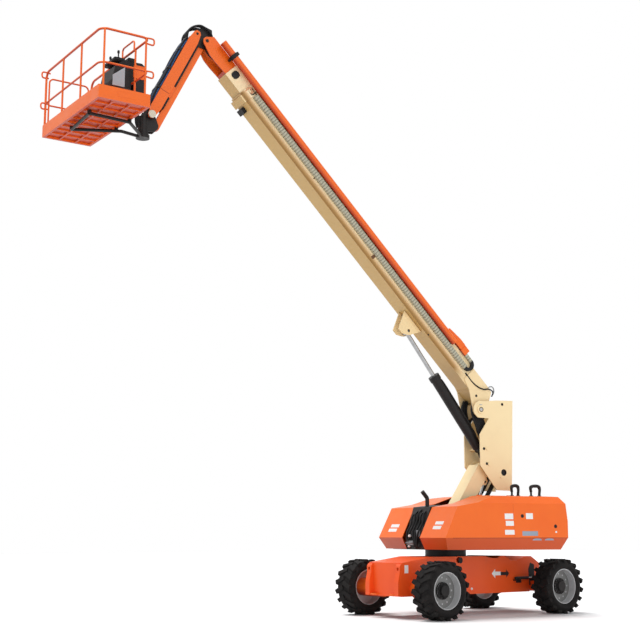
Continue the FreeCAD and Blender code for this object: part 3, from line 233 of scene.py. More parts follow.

# under in a look is the painted shade colour of its faces turned downwards
paintLooks = {
    "orangePaint": {"colour": (0.87, 0.15, 0.012), "shade": (0.84, 0.135, 0.011), "roughness": 0.36,
                    "under": (0.40, 0.034, 0.006), "dust": 0.1, "dustColour": (0.55, 0.16, 0.06)},
    # a redder copy of the orange paint for the chassis and steer axle: painted red bounce light
    "chassisBounceOrange": {"colour": (0.88, 0.10, 0.011), "shade": (0.83, 0.088, 0.011), "roughness": 0.4,
                      "under": (0.45, 0.045, 0.008), "dust": 0.14, "dustColour": (0.45, 0.14, 0.06)},
    "creamPaint": {"colour": (0.92, 0.74, 0.43), "shade": (0.89, 0.70, 0.40), "roughness": 0.42,
                   "under": (0.55, 0.36, 0.15), "dust": 0.12, "dustColour": (0.62, 0.47, 0.28)},
    "boomPaint": {"colour": (0.92, 0.74, 0.46), "shade": (0.88, 0.69, 0.42), "roughness": 0.42,
                  "under": (0.50, 0.325, 0.118), "dust": 0.15, "dustColour": (0.55, 0.38, 0.18)},
    # painted shade and highlight up the boom's side: each band is (level, colour), darkest in a crease near
    # the bottom edge and brightest in a line at the tray's lip, and start is where they fade in along it
    "boomShadeBanded": {"colour": (0.90, 0.70, 0.40), "shade": (0.86, 0.66, 0.37), "roughness": 0.42,
                   "under": (0.50, 0.325, 0.118), "dust": 0.15, "dustColour": (0.55, 0.38, 0.18),
                   "along": boomAlong, "across": boomAlong.cross(left), "spot": spotOf("main_lift"),
                   "start": (0.62, 0.95), "shadeBandSpan": (-0.1, 0.5),
                   "shadeBands": [(0.09, (0.86, 0.65, 0.35)), (0.112, (0.34, 0.18, 0.05)),
                             (0.135, (0.28, 0.14, 0.032)), (0.165, (0.38, 0.21, 0.06)),
                             (0.195, (0.56, 0.34, 0.15)), (0.225, (0.80, 0.56, 0.31)),
                             (0.25, (0.95, 0.79, 0.53)), (0.29, (0.90, 0.76, 0.48)),
                             (0.48, (0.88, 0.70, 0.41))]},
    "brownPaint": {"colour": (0.17, 0.075, 0.03), "shade": (0.12, 0.05, 0.02), "roughness": 0.5,
                   "dust": 0.2, "dustColour": (0.3, 0.2, 0.1)},
    "blackPaint": {"colour": (0.010, 0.009, 0.009), "shade": (0.016, 0.013, 0.012), "roughness": 0.42,
                   "gloss": 0.22, "dust": 0.1, "dustColour": (0.05, 0.04, 0.035)},
    "silverPaint": {"colour": (0.52, 0.52, 0.52), "shade": (0.44, 0.44, 0.45), "roughness": 0.34,
                    "gloss": 0.5, "dust": 0.22, "dustColour": (0.2, 0.18, 0.16)},
    "castIron": {"colour": (0.018, 0.017, 0.017), "shade": (0.035, 0.03, 0.028), "roughness": 0.7,
                 "gloss": 0.2},
    "greyPaint": {"colour": (0.25, 0.26, 0.27), "shade": (0.2, 0.21, 0.22), "roughness": 0.45},
    "labelWhite": {"colour": (0.84, 0.84, 0.83), "shade": (0.78, 0.78, 0.77), "roughness": 0.5},
    "labelGrey": {"colour": (0.30, 0.35, 0.42), "shade": (0.26, 0.3, 0.37), "roughness": 0.5},
    "paleSteel": {"colour": (0.70, 0.66, 0.52), "shade": (0.58, 0.53, 0.42), "roughness": 0.4},
    "palePanel": {"colour": (0.47, 0.53, 0.56), "shade": (0.38, 0.44, 0.48), "roughness": 0.4},
    "deepRed": {"colour": (0.16, 0.02, 0.008), "shade": (0.12, 0.015, 0.007), "roughness": 0.5},
    "seamOrange": {"colour": (0.62, 0.10, 0.012), "shade": (0.55, 0.08, 0.01), "roughness": 0.45},
    "dishGrey": {"colour": (0.20, 0.20, 0.195), "shade": (0.13, 0.13, 0.125), "roughness": 0.4,
                 "gloss": 0.45, "dust": 0.3, "dustColour": (0.07, 0.06, 0.05)},
    "tanDisc": {"colour": (0.72, 0.38, 0.2), "shade": (0.6, 0.3, 0.16), "roughness": 0.5},
}
rubberLooks = {
    "tyreRubber": {"colour": (0.009, 0.008, 0.008), "dustColour": (0.035, 0.03, 0.026), "dust": 0.4,
                   "roughness": 0.85},
    "padPlastic": {"colour": (0.45, 0.4, 0.25), "dustColour": (0.25, 0.2, 0.12), "dust": 0.5,
                   "roughness": 0.6},
    "blackPlastic": {"colour": (0.013, 0.013, 0.014), "dustColour": (0.05, 0.05, 0.05), "dust": 0.3,
                     "roughness": 0.5},
    "hoseRubber": {"colour": (0.008, 0.008, 0.009), "dustColour": (0.025, 0.024, 0.023), "dust": 0.45,
                   "roughness": 0.5},
    "blueHose": {"colour": (0.018, 0.07, 0.20), "dustColour": (0.05, 0.1, 0.17), "dust": 0.5,
                 "roughness": 0.25},
}
# gap is the painted shade between the links
linkLook = {"pitch": 0.055, "gap": (0.25, 0.24, 0.175), "link": (0.46, 0.44, 0.33), "dust": 0.5,
            "dustColour": (0.38, 0.36, 0.27), "roughness": 0.6, "strength": 0.3, "depth": 0.004}
finish = {name: paint(name, look) for name, look in paintLooks.items()}
finish.update({name: rubberMaterial(name, look) for name, look in rubberLooks.items()})
finish["chromeRod"] = chromeMaterial("chromeRod")
finish["trackLinks"] = bandedMaterial("trackLinks", boomAlong, linkLook)

slotFinish = {"orange_paint": "orangePaint", "cream_paint": "creamPaint", "black_paint": "blackPaint",
              "chrome_rod": "chromeRod", "silver_paint": "silverPaint", "tyre": "tyreRubber",
              "cast": "castIron", "track_plastic": "blackPlastic", "pad_plastic": "padPlastic"}
ownFinish = {"cable_track_tray": "trackLinks", "cable_track_upper": "trackLinks", "base_boom": "boomShadeBanded",
             "mid_boom": "boomPaint", "chassis_frame": "chassisBounceOrange", "steer_axle": "chassisBounceOrange"}
for part in record["subparts"]:
    piece = nodes[part["node"]]
    material = finish[ownFinish.get(part["node"], slotFinish[part["material_slot"]])]
    for slot in piece.material_slots:
        slot.material = material
    if not piece.material_slots:
        piece.data.materials.append(material)
print("finishes set")

# the look and the material slot of pieces finished like the CAD's own
orangeCoat = ("orangePaint", "orange_paint")
silverCoat = ("silverPaint", "silver_paint")
ironCoat = ("castIron", "cast")


def makePiece(name, bm, place, body, look, slotName=None):
    mesh = bpy.data.meshes.new(name)
    bmesh.ops.recalc_face_normals(bm, faces=bm.faces)
    bm.to_mesh(mesh)
    bm.free()
    mesh.transform(place)
    if place.determinant() < 0:  # a mirrored place turns the faces inside out
        mesh.flip_normals()
    mesh.materials.append(finish[look])
    piece = bpy.data.objects.new(name, mesh)
    bpy.context.collection.objects.link(piece)
    if body:
        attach(piece, body)
    return piece


# a block between two corners, given in any order
def addBlock(bm, first, second, bevel, turn=None):
    made = bmesh.ops.create_cube(bm, size=1.0)["verts"]
    low, high = Vector(map(min, first, second)), Vector(map(max, first, second))
    size, middle = high - low, (low + high) / 2
    for vert in made:
        vert.co = Vector([c * s for c, s in zip(vert.co, size)])
        if turn:
            vert.co = turn @ vert.co
        vert.co += middle
    if bevel:
        edges = list({edge for vert in made for edge in vert.link_edges})
        bmesh.ops.bevel(bm, geom=edges, offset=min(bevel, min(size) * 0.4), segments=2, affect="EDGES")


# cosine and sine at even steps round a circle, start being a share of the first step
def around(count, start=0):
    turns = [2 * math.pi * (i + start) / count for i in range(count)]
    return [(math.cos(a), math.sin(a)) for a in turns]


def acrossOf(axis):
    side = axis.orthogonal().normalized()
    return side, axis.cross(side)


def circleVerts(bm, middle, side, other, radius, sides):
    return [bm.verts.new(middle + (side * c + other * s) * radius) for c, s in around(sides)]


def skinRings(bm, rings):
    for first, second in zip(rings, rings[1:]):
        for i in range(len(first)):
            j = (i + 1) % len(first)
            bm.faces.new((first[i], first[j], second[j], second[i]))


def skinAndClose(bm, rings):
    skinRings(bm, rings)
    bm.faces.new(rings[0])
    bm.faces.new(rings[-1])


# a solid of revolution: profile is (radius, height) pairs, standing on spot along axis
def addTurned(bm, spot, axis, profile, sides=24):
    spot, axis = Vector(spot), Vector(axis).normalized()
    side, other = acrossOf(axis)
    skinAndClose(bm, [circleVerts(bm, spot + axis * height, side, other, radius, sides)
                      for radius, height in profile])


def addRing(bm, spot, axis, inner, outer, height, sides=32):
    lip = 0.003
    spot, axis = Vector(spot), Vector(axis).normalized()
    side, other = acrossOf(axis)
    profile = [(inner, 0), (outer, 0), (outer, height - lip), (outer - lip, height), (inner + lip, height),
               (inner, height - lip)]
    rings = []
    for c, s in around(sides):
        out = side * c + other * s
        rings.append([bm.verts.new(spot + out * radius + axis * level) for radius, level in profile])
    skinRings(bm, rings + rings[:1])


# a six-sided head on a round washer
def addBolt(bm, spot, axis, radius, height):
    rim, rise = radius * 1.35, height * 0.25
    addTurned(bm, spot, axis, [(rim, 0), (rim, rise)], 20)
    top = Vector(spot) + Vector(axis).normalized() * rise
    addTurned(bm, top, axis, [(radius, 0), (radius, height * 0.65), (radius * 0.85, height * 0.8)], 6)


# a smooth curve through the points
def roundedPath(points):
    steps = 8
    points = [Vector(p) for p in points]
    ends = [points[0] * 2 - points[1]] + points + [points[-1] * 2 - points[-2]]
    path = []
    for i in range(1, len(ends) - 2):
        a, b, c, d = ends[i - 1:i + 3]
        for k in range(steps):
            t = k / steps
            path.append(0.5 * ((2 * b) + (c - a) * t + (2 * a - 5 * b + 4 * c - d) * t * t
                               + (3 * b - a - 3 * c + d) * t ** 3))
    return path + [points[-1]]


def addTube(bm, path, radius, sides=10):
    path = [Vector(p) for p in path]
    previous = None
    rings = []
    for i, point in enumerate(path):
        ahead = path[min(i + 1, len(path) - 1)] - path[max(i - 1, 0)]
        ahead.normalize()
        side = ahead.orthogonal() if previous is None else previous - ahead * previous.dot(ahead)
        side.normalize()
        previous = side
        rings.append(circleVerts(bm, point, side, ahead.cross(side), radius, sides))
    skinAndClose(bm, rings)


# an outline in x and z, filled from one y to another
def addOutline(bm, points, near, far):
    skinAndClose(bm, [[bm.verts.new((x, y, z)) for x, z in points] for y in (near, far)])


def ovalPoints(middle, width, height, sides=28, power=2.6):
    def bulge(v):
        return math.copysign(abs(v) ** (2 / power), v)
    return [(middle[0] + width / 2 * bulge(c), middle[1] + height / 2 * bulge(s)) for c, s in around(sides)]


def makeBlocks(name, corners, bevel, place, body, look, slotName=None):
    bm = bmesh.new()
    for first, second in corners:
        addBlock(bm, first, second, bevel)
    makePiece(name, bm, place, body, look, slotName)


def makeHoses(name, paths, radius, place, body, look, slotName=None):
    bm = bmesh.new()
    for path in paths:
        addTube(bm, roundedPath(path), radius)
    return makePiece(name, bm, place, body, look, slotName)


def makeBolts(name, spots, axis, size, place, body, look, slotName=None):
    bm = bmesh.new()
    for spot in spots:
        addBolt(bm, spot, axis, *size)
    makePiece(name, bm, place, body, look, slotName)


def buildWheelParts():
    hub = {"track": 2.07, "nuts": 10, "nutCircle": 0.122, "nutOut": 0.072, "nut": (0.013, 0.018),
           "flangeOut": 0.0705, "flange": [(0.1505, -0.034), (0.1505, 0.0), (0.146, 0.002), (0.0955, 0.002)],
           "capOut": 0.0725, "cap": [(0.0955, 0), (0.0955, 0.0485), (0.092, 0.0502)]}
    dish = {"out": 0.0345, "bolts": 12, "boltCircle": 0.225, "boltOut": 0.0362, "bolt": (0.011, 0.008),
            "profile": [(0.302, 0), (0.296, 0.0015), (0.255, 0.002), (0.20, 0.0035), (0.152, 0.004)]}
    for where in ("front_left", "front_right", "rear_left", "rear_right"):
        wheel = "wheel_" + where
        low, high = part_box("rim_" + where)
        middle = (Vector(low) + Vector(high)) / 2
        side = 1 if middle.y > 0 else -1
        out = Vector((0, side, 0))
        centre = Vector((middle.x, side * hub["track"] / 2, middle.z))
        bm = bmesh.new()
        addTurned(bm, centre + out * hub["flangeOut"], out, hub["flange"], 48)
        addTurned(bm, centre + out * hub["capOut"], out, hub["cap"], 40)
        for c, s in around(hub["nuts"], 0.5):
            addBolt(bm, centre + out * hub["nutOut"] + Vector((c, 0, s)) * hub["nutCircle"], out, *hub["nut"])
        makePiece("hub_cover_" + where, bm, chassisFrame, wheel, *ironCoat)
        bm = bmesh.new()
        addTurned(bm, centre + out * dish["out"], out, dish["profile"], 48)
        makePiece("wheel_dish_" + where, bm, chassisFrame, wheel, "dishGrey")
        spots = [centre + out * dish["boltOut"] + Vector((c, 0, s)) * dish["boltCircle"]
                 for c, s in around(dish["bolts"])]
        makeBolts("dish_bolts_" + where, spots, out, dish["bolt"], chassisFrame, wheel, *silverCoat)


# plates on the hood's panels: each lies in the frame of its own panel
def buildHoodDetails():
    panel = {"chine": 1.405, "sideOut": 1.2, "noseFront": 0.75, "sunk": -0.004, "proud": 0.0015,
             "inset": 0.002, "sideLean": (0, 0.617, 0.026), "lowLean": (0, 0.218, -0.12),
             "noseLean": (0.555, 0, 0.275),
             "labels": [(-0.711, -0.525, 1.735, 1.838), (-0.716, -0.54, 1.618, 1.706),
                        (-0.722, -0.515, 1.46, 1.545), (-1.147, -0.993, 1.74, 1.846),
                        (-1.672, -1.638, 1.49, 1.525)],
             "greyStrip": [(-1.241, -0.894, 1.438, 1.522)],
             "noseLabels": {"left_hood": [(0.66, 0.93, 0.262, 0.325), (0.64, 0.91, 0.168, 0.235)],
                            "right_hood": [(-0.90, -0.60, 0.21, 0.275), (-0.93, -0.63, 0.12, 0.185)]},
             "latches": [(-0.913, 1.794), (-1.648, 1.61)],
             "latch": [(0.034, 0), (0.034, 0.004), (0.026, 0.006), (0.022, 0.003), (0.006, 0.003)],
             "ovals": [-1.233, -1.506], "ovalLevel": -0.052, "ovalSize": (0.2, 0.072),
             "slot": (-0.128, 0.066), "slotLevel": -0.192, "slotHeight": 0.05,
             "chineShadeLine": [((-1.90, -0.004, -0.006), (0.60, 0.0012, 0.0))],
             "doorSeam": [((-0.722, -0.004, 0.02), (-0.717, 0.001, 0.60))]}
    sunk, proud, chine = panel["sunk"], panel["proud"], panel["chine"]
    foot = Vector((0, panel["sideOut"], chine))
    noseFoot = Vector((panel["noseFront"], 0, chine))
    along, across = Vector((1, 0, 0)), Vector((0, 1, 0))
    sideLean, lowLean, noseLean = [Vector(panel[k]).normalized() for k in ("sideLean", "lowLean", "noseLean")]

    def onPanel(spans):
        return [((x0, sunk, z0 - chine), (x1, proud, z1 - chine)) for x0, x1, z0, z1 in spans]

    for body, side in (("left_hood", 1), ("right_hood", -1)):
        flip = Matrix.Diagonal((1, side, 1, 1))
        onSide = turntableFrame @ flip @ frameAt(foot, along, sideLean)
        onLow = turntableFrame @ flip @ frameAt(foot, along, lowLean)
        onNose = turntableFrame @ frameAt(noseFoot, noseLean, across)
        makeBlocks(body + "_labels", onPanel(panel["labels"]), 0.001, onSide, body, "labelWhite")
        noseLabels = [((sunk, y0, z0), (proud, y1, z1)) for y0, y1, z0, z1 in panel["noseLabels"][body]]
        makeBlocks(body + "_nose_labels", noseLabels, 0.001, onNose, body, "labelWhite")
        makeBlocks(body + "_grey_strip", onPanel(panel["greyStrip"]), 0.001, onSide, body, "labelGrey")
        bm = bmesh.new()
        for x in panel["ovals"]:
            addOutline(bm, ovalPoints((x, panel["ovalLevel"]), *panel["ovalSize"]), sunk, panel["inset"])
        makePiece(body + "_lower_ovals", bm, onLow, body, "labelGrey")
        bm = bmesh.new()
        for x, z in panel["latches"]:
            addTurned(bm, (x, -panel["inset"], z - chine), across, panel["latch"])
        makePiece(body + "_latches", bm, onSide, body, "blackPlastic")
        # painted shade: the vent slot is a flat black sheet where its opening is
        bm = bmesh.new()
        x0, x1 = panel["slot"]
        addOutline(bm, ovalPoints(((x0 + x1) / 2, panel["slotLevel"]), x1 - x0, panel["slotHeight"], 24, 5),
                   sunk, panel["inset"])
        makePiece(body + "_slot", bm, onLow, body, "blackPlastic")
        # painted shade: a dark red line along the chine, where the side folds to the lower facet
        makeBlocks(body + "_seams", panel["chineShadeLine"], 0, onSide, body, "deepRed")
        makeBlocks(body + "_door_seam", panel["doorSeam"], 0, onSide, body, "seamOrange")


def buildHandleGrips():
    grip = {"y": 0.6, "bars": [(-1.74, -1.55), (-1.25, -1.11)], "low": 2.19, "top": 2.354, "frontLow": 2.25,
            "radius": 0.026, "collar": (0.0195, 0.042, 0.012), "collarLevel": 2.1735}
    y, top = grip["y"], grip["top"]
    bm = bmesh.new()
    for rear, front in grip["bars"]:
        bar = [(rear, y, grip["low"]), (rear, y, top), (front, y, top), (front, y, grip["frontLow"])]
        addTube(bm, roundedPath(bar), grip["radius"], 12)
        for x in (rear, front):
            addRing(bm, (x, y, grip["collarLevel"]), upward, *grip["collar"], 20)
    makePiece("handle_grips", bm, turntableFrame, "left_hood", "blackPaint")


def buildBayDetails():
    # rows above: drop, stand off the face, share of the sway and fall; rows below: x, share of the sway and z
    hose = {"radius": 0.017, "sway": 0.03,
            "starts": [(-0.2, 1.86), (-0.12, 1.9), (0.02, 1.93), (0.1, 1.88), (0.18, 1.9)],
            "above": [(0, -0.02, 0, 0), (0.06, 0.035, 0.3, 0.07), (0.2, 0.028, 1, 0.22)],
            "below": [(0.705, 0.5, 1.5), (0.712, -1, 1.36), (0.70, -1.5, 1.26), (0.66, -1, 1.215)]}
    face = {"low": 1.405, "high": 1.965, "lowFront": 0.68, "highFront": 0.50}
    slope = (face["lowFront"] - face["highFront"]) / (face["high"] - face["low"])

    def frontAt(height):
        return face["lowFront"] - slope * max(height - face["low"], 0)

    paths = []
    for i, (y, z) in enumerate(hose["starts"]):
        lean = hose["sway"] * math.sin(i * 2.1)
        path = [(frontAt(z - drop) + out, y + lean * share, z - fall)
                for drop, out, share, fall in hose["above"]]
        paths.append(path + [(x, y + lean * share, low) for x, share, low in hose["below"]])
    makeHoses("bay_hoses", paths, hose["radius"], turntableFrame, "turntable", "hoseRubber")
    valve = {"blocks": [((0.67, -0.22, 1.27), (0.72, 0.02, 1.35)), ((0.66, 0.07, 1.42), (0.70, 0.2, 1.54))],
             "ports": 5, "first": (0.715, -0.19, 1.31), "step": 0.045,
             "port": [(0.015, 0), (0.015, 0.018), (0.009, 0.02), (0.009, 0.03)],
             "caps": [((0.70, -0.098, 1.436), [(0.024, 0), (0.024, 0.03), (0.018, 0.036)]),
                      ((0.70, -0.12, 1.246), [(0.018, 0), (0.018, 0.03), (0.012, 0.036)])]}
    bm = bmesh.new()
    for low, high in valve["blocks"]:
        addBlock(bm, low, high, 0.006)
    x, y, z = valve["first"]
    for i in range(valve["ports"]):
        addTurned(bm, (x, y + valve["step"] * i, z), (1, 0, 0), valve["port"], 12)
    makePiece("bay_valve_block", bm, turntableFrame, "turntable", "greyPaint")
    bm = bmesh.new()
    for spot, profile in valve["caps"]:
        addTurned(bm, spot, (1, 0, 0), profile, 20)
    makePiece("bay_caps", bm, turntableFrame, "turntable", "labelWhite")


# an arrow's outline: the shaft is two fifths as high as the head
def arrowPoints(tail, tip, middle, height):
    turn = 1 if tip > tail else -1
    neck = tip - turn * height * 0.55
    shaft, head = height * 0.2, height / 2
    return [(tail, middle - shaft), (neck, middle - shaft), (neck, middle - head), (tip, middle),
            (neck, middle + head), (neck, middle + shaft), (tail, middle + shaft)]


def buildChassisDetails():
    mark = {"paleArrow": (-1.0, -0.76, 0.74, 0.17), "darkArrow": (-1.0, -1.235, 0.735, 0.15),
            "plug": (0.05, 0.995, 0.055), "fitting": (-0.225, 0.479), "boltRow": (1.1, 0.8, 0.5, 0.2),
            "boltLevel": 0.46, "label": (1.35, 1.44, 0.79, 0.93), "guide": (-1.56, -1.42, 0.555, 0.65),
            "recess": [(-1.79, 0.50), (-1.94, 0.53), (-1.94, 0.89), (-1.83, 0.93), (-1.77, 0.80)]}
    face = 0.44
    sunk, out = face - 0.002, Vector((0, 1, 0))
    for side, letter in ((1, "left"), (-1, "right")):
        place = Matrix.Diagonal((1, side, 1, 1))
        for name, look in (("pale", "labelWhite"), ("dark", "blackPlastic")):
            bm = bmesh.new()
            addOutline(bm, arrowPoints(*mark[name + "Arrow"]), sunk, face + 0.0018)
            makePiece(name + "_arrow_" + letter, bm, place, "chassis", look)
        bm = bmesh.new()
        x, z, r = mark["plug"]
        rim = [(r, 0), (r, 0.004), (r * 0.85, 0.005), (r * 0.8, 0.0025), (0.004, 0.0025)]
        addTurned(bm, (x, sunk, z), out, rim, 28)
        makePiece("side_plug_" + letter, bm, place, "chassis", "blackPlastic")
        x, z = mark["fitting"]
        makeBolts("side_fitting_" + letter, [(x, face, z)], out, (0.018, 0.014), place, "chassis",
                  "labelWhite")
        # painted shade: the recess behind the rear steering link is a flat black sheet; the guide its rod
        # slides in is a black block on it
        bm = bmesh.new()
        addOutline(bm, mark["recess"], sunk, face + 0.0015)
        x0, x1, z0, z1 = mark["guide"]
        addBlock(bm, (x0, sunk, z0), (x1, face + 0.010, z1), 0.003)
        makePiece("rear_recess_" + letter, bm, place, "chassis", "blackPlastic")
        x0, x1, z0, z1 = mark["label"]
        label = [((x0, sunk, z0), (x1, face + 0.0015, z1))]
        makeBlocks("bracket_label_" + letter, label, 0.001, place, "chassis", "labelWhite")
        row = [(x, face, mark["boltLevel"]) for x in mark["boltRow"]]
        makeBolts("side_bolts_" + letter, row, out, (0.012, 0.01), place, "chassis", *orangeCoat)
    # slew ring bolts, and the bar across the rear
    ring = {"bolts": 30, "radius": 0.345, "level": 1.0655}
    bm = bmesh.new()
    for c, s in around(ring["bolts"]):
        addBolt(bm, (ring["radius"] * c, ring["radius"] * s, ring["level"]), upward, 0.011, 0.016)
    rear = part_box("chassis_frame")[0][0]
    addBlock(bm, (rear + 0.03, -0.2, 0.70), (rear + 0.09, 0.2, 0.95), 0.004)
    makePiece("chassis_fittings", bm, chassisFrame, "chassis", "blackPaint")


def buildUprightDetails():
    plate = {"out": 0.28, "bolts": [(-1.165, 3.93), (-0.725, 3.067), (-0.783, 2.785)],
             "hole": (-1.165, 2.622), "bushing": (0.05, 0.061, 0.019),
             "shadeDisc": [(0.085, 0), (0.085, 0.01), (0.05, 0.012)]}
    pin = {"out": 0.2795, "ring": (0.030, 0.05, 0.016), "rim": (0.052, 0.064, 0.008),
           "end": [(0.028, 0), (0.028, 0.018), (0.02, 0.022)], "tab": ((-0.03, 0, 0.085), (0.03, 0.006, 0.1))}
    pivot = turntableFrame.inverted() @ uprightFrame
    dark, bright = bmesh.new(), bmesh.new()
    for side in (1, -1):
        out = Vector((0, side, 0))
        spot = pivot @ (out * pin["out"])
        for x, z in plate["bolts"]:
            addBolt(dark, (x, side * plate["out"], z), out, 0.02, 0.014)
        addRing(dark, spot, out, *pin["ring"])
        addRing(bright, spot, out, *pin["rim"])
        addTurned(bright, spot, out, pin["end"])
        addBlock(bright, *[spot + Vector((x, side * y, z)) for x, y, z in pin["tab"]], 0.001)
    makePiece("upright_bolts", dark, turntableFrame, "upright", *ironCoat)
    makePiece("pivot_pin_rings", bright, turntableFrame, "upright", *silverCoat)
    x, z = plate["hole"]
    bm = bmesh.new()
    addRing(bm, (x, 0.262, z), (0, 1, 0), *plate["bushing"])
    makePiece("round_hole_bushing", bm, turntableFrame, "upright", *ironCoat)
    # painted shade: a dark disc behind the round hole stands in for the dark inside of the upright
    bm = bmesh.new()
    addTurned(bm, (x, 0.246, z), (0, 1, 0), plate["shadeDisc"], 28)
    makePiece("round_hole_shade_disc", bm, turntableFrame, "upright", "blackPlastic")


# hoses between the upright's plates, and the thick bundle by the boom's foot
def buildFootHoses():
    hose = {"across": (-0.178, -0.14, 0.14, 0.178), "loose": (0, -0.045), "looseRadius": 0.018,
            "looseSway": 0.03, "layer": -0.041, "layers": {"far": 3, "near": 6}, "radius": 0.0205,
            "sway": 0.012}
    loose, bundled = [], []
    for i, y in enumerate(hose["across"]):
        for lift in hose["loose"]:
            swing = hose["looseSway"] * math.sin(i * 1.7) + lift
            loose.append([(-0.80 + lift, y, 3.70), (-0.70 + swing, y, 3.62), (-0.66 + lift, y, 3.48),
                          (-0.70 + swing, y, 3.34), (-0.82 + lift, y, 3.22), (-0.92, y, 3.02 + lift),
                          (-1.0, y, 2.9 + lift)])
        for k in range(hose["layers"]["far" if y < 0 else "near"]):
            depth = hose["layer"] * k
            swing = hose["sway"] * math.sin(i * 2.3) + depth
            bundled.append([(-0.59 + swing, y, 4.0), (-0.545 + swing, y, 3.86), (-0.56 + swing, y, 3.70),
                            (-0.64 + swing, y, 3.50), (-0.73 + depth, y, 3.30), (-0.82 + depth, y, 3.06)])
    makeHoses("upright_hoses", loose, hose["looseRadius"], turntableFrame, "upright", "hoseRubber")
    bundle = makeHoses("foot_hoses", bundled, hose["radius"], turntableFrame, None, "hoseRubber")
    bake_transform(bundle)


def buildBoomFoot():
    pin = {"out": 0.217, "ring": (0.030, 0.062, 0.02), "end": [(0.026, 0), (0.026, 0.012), (0.02, 0.016)],
           "boltAt": (0, 0.004, 0.085), "bolt": (0.009, 0.012), "tab": ((-0.03, 0, 0.06), (0.03, 0.006, 0.10))}
    # x, y, z and size of the plain bolts
    plain = [(0.234, 0.217, 0.14, (0.018, 0.014)), (0.491, 0.2, 0.16, (0.012, 0.012)),
             (1.756, 0.2, 0.14, (0.012, 0.012))]
    pins, bolts = bmesh.new(), bmesh.new()
    for side in (1, -1):
        out = Vector((0, side, 0))
        spot = out * pin["out"]
        boltSpot, low, high = [spot + Vector((x, side * y, z)) for x, y, z in (pin["boltAt"], *pin["tab"])]
        addRing(pins, spot, out, *pin["ring"], 36)
        addTurned(pins, spot, out, pin["end"])
        addBolt(pins, boltSpot, out, *pin["bolt"])
        addBlock(pins, low, high, 0.002)
        for x, y, z, size in plain:
            addBolt(bolts, (x, side * y, z), out, *size)
    makePiece("main_pin_rings", pins, boomFrame, "base_boom", *silverCoat)
    makePiece("foot_bolts", bolts, boomFrame, "base_boom", *ironCoat)


# hoses along the boom's tail, and a grey loop above them
def buildTailHoses():
    tail = {"near": [(0.70, 0.214, 0.262), (0.599, 0.214, 0.258), (0.472, 0.216, 0.258),
                     (0.323, 0.232, 0.287), (0.213, 0.236, 0.352), (0.152, 0.236, 0.434),
                     (0.069, 0.228, 0.478), (0.01, 0.2, 0.47), (-0.03, 0.15, 0.44)],
            "far": [(0.70, -0.214, 0.262), (0.45, -0.216, 0.26), (0.25, -0.228, 0.33), (0.12, -0.228, 0.45),
                    (0.01, -0.2, 0.47), (-0.03, -0.15, 0.44)], "radius": 0.013,
            "loop": [(0.16, 0.19, 0.47), (0.15, 0.20, 0.51), (0.115, 0.205, 0.545), (0.06, 0.2, 0.545),
                     (0.01, 0.19, 0.51), (-0.01, 0.18, 0.47)], "loopRadius": 0.011}
    makeHoses("tail_hose", [tail["near"], tail["far"]], tail["radius"], boomFrame, "base_boom", "hoseRubber")
    makeHoses("tail_loop", [tail["loop"]], tail["loopRadius"], boomFrame, "base_boom", "greyPaint")


# parts of the near side: clips, wear block, the nose roller's cover, and a dark disc and crescent of painted
# shade by that cover
def buildTrackSide():
    near = {"clips": [((3.55, 0.199, 0.19), (3.61, 0.212, 0.33)), ((5.4, 0.199, 0.24), (5.43, 0.207, 0.32))],
            "wearBlock": [((7.12, -0.2, 0.045), (7.235, 0.01, 0.112))],
            "coverAt": (7.385, 0.199, 0.305), "cover": (0.036, 0.074, 0.0115), "shadeAt": (7.38, 0.36),
            "shade": [(0.03, 0), (0.03, 0.006), (0.02, 0.009), (0.004, 0.009)],
            "arc": range(150, 285, 9), "arcRadius": 0.09, "arcTube": 0.009}
    makeBlocks("track_clips", near["clips"], 0.003, boomFrame, "base_boom", "brownPaint")
    makeBlocks("collar_wear_block", near["wearBlock"], 0.006, boomFrame, "base_boom", "blackPlastic")
    bm = bmesh.new()
    addRing(bm, near["coverAt"], (0, 1, 0), *near["cover"])
    makePiece("nose_roller_cover", bm, boomFrame, "base_boom", "tanDisc")
    # painted shade: a dark disc and crescent beside the roller's cover
    bm = bmesh.new()
    x, z = near["shadeAt"]
    addTurned(bm, (x, 0.2, z), (0, 1, 0), near["shade"])
    arc = [math.radians(degrees) for degrees in near["arc"]]
    r = near["arcRadius"]
    addTube(bm, [(x + r * math.cos(a), 0.206, z + r * math.sin(a)) for a in arc], near["arcTube"], 8)
    makePiece("nose_roller_painted_shade", bm, boomFrame, "base_boom", "blackPlastic")


# parts on both sides of the boom, and a brown strip of painted shade under the push tube
def buildBoomSides():
    side = {"padAt": (7.765, 0.29), "padSize": (0.14, 0.15), "padFrom": 0.178, "padTo": 0.192,
            "row": (2.0, 3.2, 4.4, 5.6, 6.8), "rowOut": 0.2, "rowLevel": 0.42, "rowSize": (0.011, 0.008),
            "ledge": ((0.78, 0.1998, 0.250), (7.27, 0.207, 0.262)),
            "tubeShadeStrip": [((0.98, 0.199, 0.36), (7.40, 0.2105, 0.376))]}
    pads, row = bmesh.new(), bmesh.new()
    oval = ovalPoints(side["padAt"], *side["padSize"], 28, 2.8)
    ledges = []
    for hand in (1, -1):
        addOutline(pads, oval, hand * side["padFrom"], hand * side["padTo"])
        for x in side["row"]:
            addBolt(row, (x, hand * side["rowOut"], side["rowLevel"]), (0, hand, 0), *side["rowSize"])
        ledges.append([(x, hand * y, z) for x, y, z in side["ledge"]])
    makePiece("round_wear_pads", pads, boomFrame, "mid_boom", "blackPlastic")
    makePiece("boom_side_bolts", row, boomFrame, "base_boom", "boomPaint", "cream_paint")
    makeBlocks("tray_ledge", ledges, 0.002, boomFrame, "base_boom", "creamPaint", "cream_paint")
    # painted shade: a brown strip along the side under the push tube
    makeBlocks("tube_shade_strip", side["tubeShadeStrip"], 0.002, boomFrame, "base_boom", "brownPaint")


